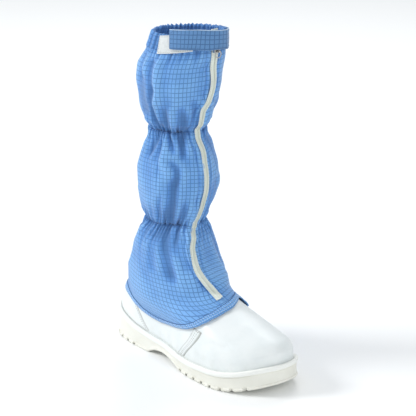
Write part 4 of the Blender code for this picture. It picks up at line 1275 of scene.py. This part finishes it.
def cloth_measures(base, normal, angle, height, sunk):
    """Place on the flat cloth, in metres, and the painted shade value: how deep the cloth lies in a fold,
    with the pleats' shade added.
    """
    run = lengths(base[..., :2], 1)
    start = np.array([np.interp(GRID_START + 2 * pi, row, way) for row, way in zip(angle, run)])[:, None]
    around = (run - start) * np.maximum(1.0, CLOTH_ROUND / run[:, -1:])
    step = np.diff(base, axis=0)
    out = (step * (normal[1:] + normal[:-1]) / 2).sum(-1)
    rise = np.cumsum(np.hypot(step[..., 2], out), axis=0)
    along = height[-1:] - rise[-1:] + np.concatenate((np.zeros_like(rise[:1]), rise))
    return np.stack((around, along, np.clip(sunk, -HIGHEST_RIDGE, DEEPEST_FOLD)), axis=-1)


class BootShaft(bpy.types.Operator):
    """Gathered cloth shaft in three panels, with its hem"""

    bl_idname = "boot.shaft"
    bl_label = "Shaft"

    def execute(self, context):
        chosen = settings()
        self.finish = grid_cloth("grid_cloth")
        for name, low, high, rows, *scale in PANELS:
            points, cloth = panel_points(low, high, rows)
            shape, centre = formed(points, cloth * np.array((*scale, 1.0))), points.mean(axis=(0, 1))
            made = piece(name, shape, self.finish, stands_for=["shaft"], outward_from=centre)
            thicken(made, chosen.cloth_thickness)
        self.hem(chosen)
        return {"FINISHED"}

    def hem(self, chosen):
        """Folded hem band with its stitches, and the stitches of the gathers."""
        turn = np.linspace(0.0, 2 * pi, 361)
        rows, cloth = [], []
        for rise, lift in HEM_PROFILE:
            rows.append(hem_face(turn, rise, lift)[0])
            cloth.append(stack(turn * HEM_RADIUS, turn * 0 + rise + HEM_GRID_START, turn * 0))
        piece("hem_band", formed(np.array(rows), np.array(cloth)), self.finish, weld=WELD)
        light, dark, lines = bmesh.new(), bmesh.new(), bmesh.new()
        for rise in HEM_ROWS:
            add_stitches(light, *hem_face(turn, rise, HEM_ROW_LIFT), (chosen.stitch_length, *HEM_ROW_SIZE))
        add_stitches(dark, *hem_face(turn, HEM_EDGE, HEM_EDGE_LIFT), (chosen.stitch_length, *HEM_EDGE_SIZE))
        piece("hem_stitches", light, thread_finish("pale_thread", (0.66, 0.78, 0.90)))
        piece("hem_edge_stitches", dark, thread_finish("blue_thread", (0.035, 0.105, 0.29)))
        for line, _, _ in GATHERS:
            height = np.full_like(turn, line)
            around = np.linspace(GATHER_STITCH_START, 2 * pi - GATHER_STITCH_START, len(turn))
            angle = zip_angle(height) + around
            face, _ = shaft_cloth(angle, height, np.ones_like(turn))
            _, normal = leg(angle, height)
            add_stitches(lines, face + normal * GATHER_STITCH_LIFT, normal, GATHER_STITCH)
        piece("gather_stitches", lines, thread_finish("gather_thread", (0.060, 0.165, 0.42)))


CASING_PROFILE = (
    # rise, lift
    (0.0, -0.0006), (0.0012, 0.0004), (0.0040, 0.0006), (0.0080, 0.0002), (0.0120, 0.0004),
    (0.0160, 0.0002), (0.0190, 0.0), (0.0203, -0.0004), (0.0210, -0.0012), (0.0211, -0.0020),
    (0.0207, -0.0028), (0.0195, -0.0034), (0.0160, -0.0036), (0.0110, -0.0034), (0.0060, -0.0036),
    (0.0010, -0.0036), (-0.0040, -0.0034),
)
CASING_OUTER_ROWS = 10
# Pleats of the casing: seed, count, depth, sharpness, rise and reach
CASING_PLEATS = (
    (31, 54, 0.0036, 0.9, 0.004, 0.05),
    (9, 25, 0.0016, 1.3, 0.002, 0.05),
)
CASING_SEAMS = (0.0014, 0.0185)
CASING_SEAM_LIFT = 0.0006
CASING_FLAT = 0.16
CASING_RUN = 0.2
CASING_RADIUS = 0.060
CASING_PROUD = 0.0008
CASING_INSIDE_SHADE = 0.0034
# Painted shade over the casing's inner face
CASING_CREST = 0.0006
CREST_START = 0.012
CREST_RUN = 0.008


class BootCasing(bpy.types.Operator):
    """Gathered elastic casing at the leg opening"""

    bl_idname = "boot.casing"
    bl_label = "Casing"

    def execute(self, context):
        turn = np.linspace(0.0, 2 * pi, 541)
        bottom = BOOT_HEIGHT - CASING_HEIGHT
        pleat = sum(valley(turn, *pleats) for pleats in CASING_PLEATS)
        rows, cloth, travelled = [], [], 0.0
        for index, (rise, lift) in enumerate(CASING_PROFILE):
            if index:
                before = CASING_PROFILE[index - 1]
                travelled += sqrt((rise - before[0]) ** 2 + (lift - before[1]) ** 2)
            height = np.full_like(turn, bottom + rise)
            beside = ease((from_zip(turn, height) - CASING_FLAT) / CASING_RUN)
            face, _ = leg(turn, height, lift + (CASING_PROUD - pleat) * beside)
            crest = ease((rise - CREST_START) / CREST_RUN)
            face[..., 2] += (CASING_CREST - pleat * 0.6) * beside * crest
            rows.append(face)
            # Painted shade: the outer rows darken in the pleats' hollows; the inner face is darkened all
            # over, less where the pleats sink deepest.
            dark = pleat * 2.2 if index < CASING_OUTER_ROWS else (CASING_INSIDE_SHADE - pleat) * 1.3
            cloth.append(stack(turn * CASING_RADIUS, travelled, dark * beside))
        shape = formed(np.array(rows), np.array(cloth))
        finish = grid_cloth("casing_cloth")
        piece("leg_casing", shape, finish, stands_for=["top_casing"], weld=WELD)
        thread = bmesh.new()
        for rise in CASING_SEAMS:
            seam = leg(turn, np.full_like(turn, bottom + rise), CASING_SEAM_LIFT)
            add_stitches(thread, *seam, CASING_STITCH)
        piece("casing_stitches", thread, thread_finish("casing_thread", (0.20, 0.40, 0.72)))
        return {"FINISHED"}


# Strap and patch

# How far the strap's lower edge bows up over the raised ring
STRAP_BOW = 0.0014
BOW_PLACE = 0.47
BOW_WIDTH = 0.09
STRAP_CORNER = 0.11
PATCH_CORNER = 0.07
PATCH_LIFT = 0.0004
STRAP_LENGTH = 0.135
STRAP_THICKNESS = 0.0012
STRAP_STITCH_LIFT = 0.0018
STRAP_BUCKLE = 0.0003
STRAP_ROUND = 0.0004
STRAP_RIDGE = 0.0003
PIPING_LIFT = 0.0009
PIPING_OUT = 0.0008
PIPING_UP = 0.0006
PILE_HEIGHT = 0.00035
PATCH_SEAM_PLACE = 0.0018
PATCH_SEAM = 0.0004


def strap_face(share, up, lift):
    """Points of the strap; up goes from its lower to its upper edge."""
    angle = mix(*STRAP_TURN, share) * pi
    rise = read(STRAP_RISE, 1, share) + lift
    height = STRAP_TOP - STRAP_WIDTH + up * STRAP_WIDTH
    height = height + (1 - up) * STRAP_BOW * hump(share - BOW_PLACE, BOW_WIDTH)
    angle = angle + (1 - up) * np.maximum(1 - share * 4, 0) * STRAP_CORNER
    points, normal = leg(angle, height, rise)
    points[..., 2] += read(STRAP_RISE, 2, share) * STRAP_TILT
    return points, normal


def patch_face(share, up, lift):
    """Points of the loop patch."""
    angle = mix(*PATCH_TURN, share) * pi + (1 - up) * np.maximum(1 - share * 2, 0) * PATCH_CORNER
    points, normal = leg(angle, PATCH_TOP - PATCH_WIDTH + up * PATCH_WIDTH, PATCH_LIFT + lift)
    points[..., 2] += share * PATCH_TILT
    return points, normal


class BootStrap(bpy.types.Operator):
    """Closing strap with its piping, and the loop patch under its free end"""

    bl_idname = "boot.strap"
    bl_label = "Strap and patch"

    def execute(self, context):
        light = tuple(settings().strap_light)
        finish = cloth_finish("strap_cloth", light, darker(light, 0.72), (0.035, 0.100, 0.235))
        along, up = np.meshgrid(np.linspace(0.0, 1.0, 221), np.linspace(0.0, 1.0, 25))
        buckle = STRAP_BUCKLE * np.sin(23 * along) * np.sin(5 * up + 3 * along)
        edge = np.minimum(np.minimum(up, 1 - up) * STRAP_WIDTH, np.minimum(along, 1 - along) * 0.13)
        lift = buckle + STRAP_ROUND * ease(edge / STRAP_THICKNESS) + STRAP_RIDGE * hump(up - 0.90, 0.05)
        points, _ = strap_face(along, up, lift)
        cloth = stack(along * STRAP_LENGTH + 0.0018, up * STRAP_WIDTH * 0.98 + 0.0014, 0 * up)
        shape, centre = formed(points, cloth), points.mean(axis=(0, 1)) - np.array((0.05, 0.0, 0.0))
        strap = piece(
            "closing_strap", shape, finish, stands_for=["strap"], outward_from=centre,
        )
        thicken(strap, STRAP_THICKNESS, 1.0)
        thread = bmesh.new()
        run = np.linspace(0.015, 0.985, 160)
        rise = np.linspace(0.09, 0.93, 30)
        for level in (0.09, 0.93):
            add_stitches(thread, *strap_face(run, np.full_like(run, level), STRAP_STITCH_LIFT), STRAP_STITCH)
        for share in (0.018, 0.93, 0.985):
            place = np.full_like(rise, share)
            add_stitches(thread, *strap_face(place, rise, STRAP_STITCH_LIFT), STRAP_STITCH)
        piece("strap_stitches", thread, thread_finish("strap_thread", (0.070, 0.170, 0.360)))
        self.piping()
        self.patch()
        return {"FINISHED"}

    def piping(self):
        """Pale rolled edge along the strap's top."""
        run = np.linspace(0.0, 1.0, 161)
        rows = []
        for turn in (2 * pi * step / 8 for step in range(9)):
            path, _ = strap_face(run, np.ones_like(run), PIPING_LIFT + PIPING_OUT * sin(turn))
            path[..., 2] += PIPING_UP * cos(turn)
            rows.append(path)
        finish = thread_finish("piping_cloth", (0.44, 0.60, 0.78))
        piece("strap_piping", formed(np.array(rows)), finish, weld=FINE_WELD)

    def patch(self):
        """Loop patch with a stitched border."""
        along, up = np.meshgrid(np.linspace(0.0, 1.0, 101), np.linspace(0.0, 1.0, 61))
        fuzz = spread(5, up.size, 0.0, PILE_HEIGHT).reshape(up.shape)
        edge = np.minimum(np.minimum(up, 1 - up) * PATCH_WIDTH, np.minimum(along, 1 - along) * 0.050)
        seam = hump(edge - PATCH_SEAM_PLACE, PATCH_SEAM) * PATCH_SEAM
        lift = 0.0006 * ease(edge / 0.0006) + fuzz * ease(edge / 0.002) - seam
        points, _ = patch_face(along, up, lift)
        centre = points.mean(axis=(0, 1)) + np.array((-0.02, 0.05, 0.0))
        pile = pile_finish("loop_pile")
        made = piece(
            "patch_pile", formed(points), pile, stands_for=["loop_patch"], outward_from=centre,
        )
        thicken(made, 0.0006)
        thread = bmesh.new()
        border = ((0.03, 0.08, 0.97, 0.08), (0.03, 0.92, 0.97, 0.92), (0.03, 0.08, 0.03, 0.92))
        for start, low, end, high in border:
            run = np.linspace(0.0, 1.0, 60)
            add_stitches(thread, *patch_face(mix(start, end, run), mix(low, high, run), 0.0007), PATCH_STITCH)
        piece("patch_stitches", thread, thread_finish("patch_thread", (0.46, 0.50, 0.52)))


# Zip

TAPE_HALF = 0.0050
TAPE_LIFT = 0.0014
TAPE_THICKNESS = 0.0007
COIL_PITCH = 0.0016
COIL_LIFT = 0.0026
COIL_ASIDE = 0.0006
COIL_FORM = (0.0013, 0.00036, 0.0005, 1.0)
ZIP_SEAM = 0.0040
ZIP_SEAM_LIFT = 0.0019
WIRE = 0.0006
ZIP_NARROWS = (
    # height, share of the tape's width that shows
    (0.22, 0.95), (0.30, 0.78), (0.40, 0.55), (0.47, 0.62), (0.56, 0.76), (0.66, 0.70),
    (0.74, 0.66), (0.80, 0.84), (0.90, 1.00), (1.02, 1.00),
)


def zip_face(height, across, lift):
    """Points over the cloth, square to the zip's middle line."""
    small = 0.007
    across = across * read(ZIP_NARROWS, 1, height / BOOT_HEIGHT)
    half_width = leg_half_width(height)
    lean = (zip_angle(height + small) - zip_angle(height - small)) * half_width / (2 * small)
    across = across / np.sqrt(1 + lean * lean)
    angle = zip_angle(height) + across / half_width
    height = height - across * lean
    low = hem_height(angle)
    share = np.where(height < SKIRT_TOP, np.clip((height - low) / (SKIRT_TOP - low), 0, 1), 1.0)
    base, normal = shaft_face(angle, height, share)
    return base + normal * np.asarray(lift)[..., None], normal


class BootZip(bpy.types.Operator):
    """Zip with its tape, coil and pull ring"""

    bl_idname = "boot.zip"
    bl_label = "Zip"

    def execute(self, context):
        tape = tape_finish("zip_tape_polyester")
        heights = np.linspace(ZIP_END_HEIGHT - 0.001, BOOT_HEIGHT + 0.0035, 420)
        across = np.linspace(-1.0, 1.0, 25)
        height, side = np.meshgrid(heights, across, indexing="ij")
        ridge = 0.0010 * hump(side, 0.40) - 0.0003 * hump(side, 0.05)
        edge = 0.0004 * hump(np.abs(side) - 0.86, 0.08)
        points, _ = zip_face(height, side * TAPE_HALF, TAPE_LIFT + ridge + edge)
        cloth = stack(side * TAPE_HALF, lengths(points[:, len(across) // 2])[:, None], side * 0)
        shape, centre = formed(points, cloth), points.mean(axis=(0, 1)) - np.array((0.06, 0.0, 0.0))
        made = piece(
            "zip_tapes", shape, tape, stands_for=["zip_tape"], outward_from=centre,
        )
        thicken(made, TAPE_THICKNESS)
        self.coil()
        self.stitches()
        self.hardware()
        return {"FINISHED"}

    def coil(self):
        """Two rows of interlocked turns down the middle."""
        heights = np.arange(ZIP_END_HEIGHT + 0.004, BOOT_HEIGHT - 0.001, 0.0004)
        path, normals = zip_face(heights, 0.0, COIL_LIFT)
        run = lengths(path)
        shape = bmesh.new()
        for order, at in enumerate(np.arange(0.0, run[-1], COIL_PITCH / 2)):
            place, after = (Vector(at_length(spot, run, path)) for spot in (at, at + MM))
            out = Vector(at_length(at, run, normals)).normalized()
            up = after - place
            up = (up - out * up.dot(out)).normalized() if up.length > 1e-6 else Vector((0, 0, 1))
            side = up.cross(out).normalized()
            turn = Matrix((side, up, out)).transposed().to_4x4()
            spot = Matrix.Translation(place + side * (1 if order % 2 else -1) * COIL_ASIDE)
            bead(shape, spot @ turn @ Matrix.Diagonal(COIL_FORM))
        finish = plastic_finish("zip_coil_nylon", (0.70, 0.74, 0.665), 0.45)
        piece("zip_coil", shape, finish, stands_for=["zip_chain"])

    def stitches(self):
        """Rows of stitches that hold the tapes."""
        heights = np.linspace(ZIP_END_HEIGHT + 0.001, BOOT_HEIGHT - 0.002, 500)
        shape = bmesh.new()
        for side in (-ZIP_SEAM, ZIP_SEAM):
            add_stitches(shape, *zip_face(heights, side, ZIP_SEAM_LIFT), ZIP_STITCH)
        piece("zip_stitches", shape, thread_finish("zip_thread", (0.66, 0.70, 0.63)))

    def hardware(self):
        """Slider's finish, and the wire ring that hangs in its eye."""
        metal = metal_finish("nickel_plate")
        slider = frame["nodes"]["zip_slider"]
        slider.data.materials.clear()
        slider.data.materials.append(metal)
        low, high = (Vector(corner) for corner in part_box("zip_pull_ring"))
        axis = Vector(frame["record"]["behaviour"]["joints"][0]["axis"]).normalized()
        upright = Vector((0, 0, 1))
        shape = bmesh.new()
        start = Matrix.Translation(((high.z - low.z) / 2 - WIRE, 0, 0)) @ Matrix.Rotation(pi / 2, 4, "X")
        verts = bmesh.ops.create_circle(shape, segments=12, radius=WIRE, matrix=start)["verts"]
        edges = list({edge for vert in verts for edge in vert.link_edges})
        bmesh.ops.spin(
            shape, geom=verts + edges, cent=(0, 0, 0), axis=upright, angle=2 * pi, steps=48, use_merge=True,
        )
        turn = Matrix((axis, upright, axis.cross(upright).normalized())).transposed().to_4x4()
        bmesh.ops.transform(shape, verts=shape.verts, matrix=Matrix.Translation((low + high) / 2) @ turn)
        piece(
            "pull_ring_wire", shape, metal, body="zip_pull", stands_for=["zip_pull_ring"],
            weld=FINE_WELD,
        )


# Stage

LIGHTS = (
    # name, place, size, power
    ("key", (-1.9, -2.0, 2.1), 1.1, 64.0),
    ("fill", (2.4, -0.8, 1.6), 2.0, 17.0),
    ("back", (-1.2, 1.6, 2.4), 1.2, 22.0),
)
LIGHT_AIM = (-0.02, 0.0, 0.2)
ROOM_COLOUR = (0.95, 0.975, 1.0, 1.0)
ROOM_LIGHT = 0.66
FLOOR_COLOUR = (0.93, 0.94, 0.94, 1.0)
FLOOR_HALF = 6.0
VIEW_END = 20.0


class BootStage(bpy.types.Operator):
    """Pale floor, soft light and the camera"""

    bl_idname = "boot.stage"
    bl_label = "Stage"

    def execute(self, context):
        self.floor()
        for light in LIGHTS:
            self.light(*light)
        world = bpy.data.worlds.new("soft_room")
        bpy.context.scene.world = world
        world.use_nodes = True
        background = world.node_tree.nodes["Background"]
        background.inputs["Color"].default_value = ROOM_COLOUR
        background.inputs["Strength"].default_value = ROOM_LIGHT
        bpy.context.scene.view_settings.view_transform = "Standard"
        self.camera()
        return {"FINISHED"}

    def floor(self):
        """Wide plain floor."""
        shape = bmesh.new()
        bmesh.ops.create_grid(shape, x_segments=2, y_segments=2, size=FLOOR_HALF)
        mesh = bpy.data.meshes.new("floor")
        shape.to_mesh(mesh)
        shape.free()
        floor = bpy.data.objects.new("floor", mesh)
        bpy.context.scene.collection.objects.link(floor)
        paint = Paint("pale_floor", Roughness=0.85)
        paint.shader.inputs["Base Color"].default_value = FLOOR_COLOUR
        mesh.materials.append(paint.material)

    def aimed(self, name, data, place, aim):
        """A light or a camera at a place, looking along a direction."""
        made = bpy.data.objects.new(name, data)
        made.location = place
        made.rotation_euler = aim.to_track_quat("-Z", "Y").to_euler()
        bpy.context.scene.collection.objects.link(made)
        return made

    def light(self, name, place, size, power):
        """One soft square light, aimed at the boot."""
        data = bpy.data.lights.new(name, "AREA")
        data.shape = "SQUARE"
        data.size = size
        data.energy = power
        self.aimed(name, data, place, Vector(LIGHT_AIM) - Vector(place))

    def camera(self):
        """The photograph's camera, turned to centre the boot."""
        place = Vector(CAMERA_PLACE)
        forward = (Vector(CAMERA_TARGET) - place).normalized()
        right = forward.cross(Vector((0, 0, 1))).normalized()
        up = right.cross(forward)
        aside = (BOOT_PIXEL[0] - TARGET_PIXEL[0]) / FOCAL_PIXELS
        down = (BOOT_PIXEL[1] - TARGET_PIXEL[1]) / FOCAL_PIXELS
        aim = (forward + right * aside - up * down).normalized()
        data = bpy.data.cameras.new("camera")
        data.sensor_width = SENSOR
        data.lens = SENSOR * FOCAL_PIXELS / PICTURE
        data.clip_end = VIEW_END
        bpy.context.scene.camera = self.aimed("camera", data, place, aim)


class BootPanel(bpy.types.Panel):
    """Lists the boot's pieces"""

    bl_idname = "VIEW3D_PT_boot"
    bl_label = "Cleanroom boot"
    bl_space_type = "VIEW_3D"
    bl_region_type = "UI"
    bl_category = "Boot"

    def draw(self, context):
        for name in BootSettings.__annotations__:
            self.layout.prop(context.scene.boot_settings, name)
        for operator in OPERATORS:
            self.layout.operator(operator.bl_idname)


OPERATORS = (BootSole, BootUpper, BootShaft, BootCasing, BootStrap, BootZip, BootStage)
CLASSES = (BootSettings, *OPERATORS, BootPanel)


def register():
    """Add the classes and the settings."""
    for item in CLASSES:
        bpy.utils.register_class(item)
    bpy.types.Scene.boot_settings = bpy.props.PointerProperty(type=BootSettings)


def unregister():
    """Take the settings and the classes away."""
    del bpy.types.Scene.boot_settings
    for item in reversed(CLASSES):
        bpy.utils.unregister_class(item)


def main():
    """Dress the boot."""
    register()
    bpy.ops.boot.sole()
    bpy.ops.boot.upper()
    bpy.ops.boot.shaft()
    bpy.ops.boot.casing()
    bpy.ops.boot.strap()
    bpy.ops.boot.zip()
    bpy.ops.boot.stage()


if __name__ == "__main__":
    main()
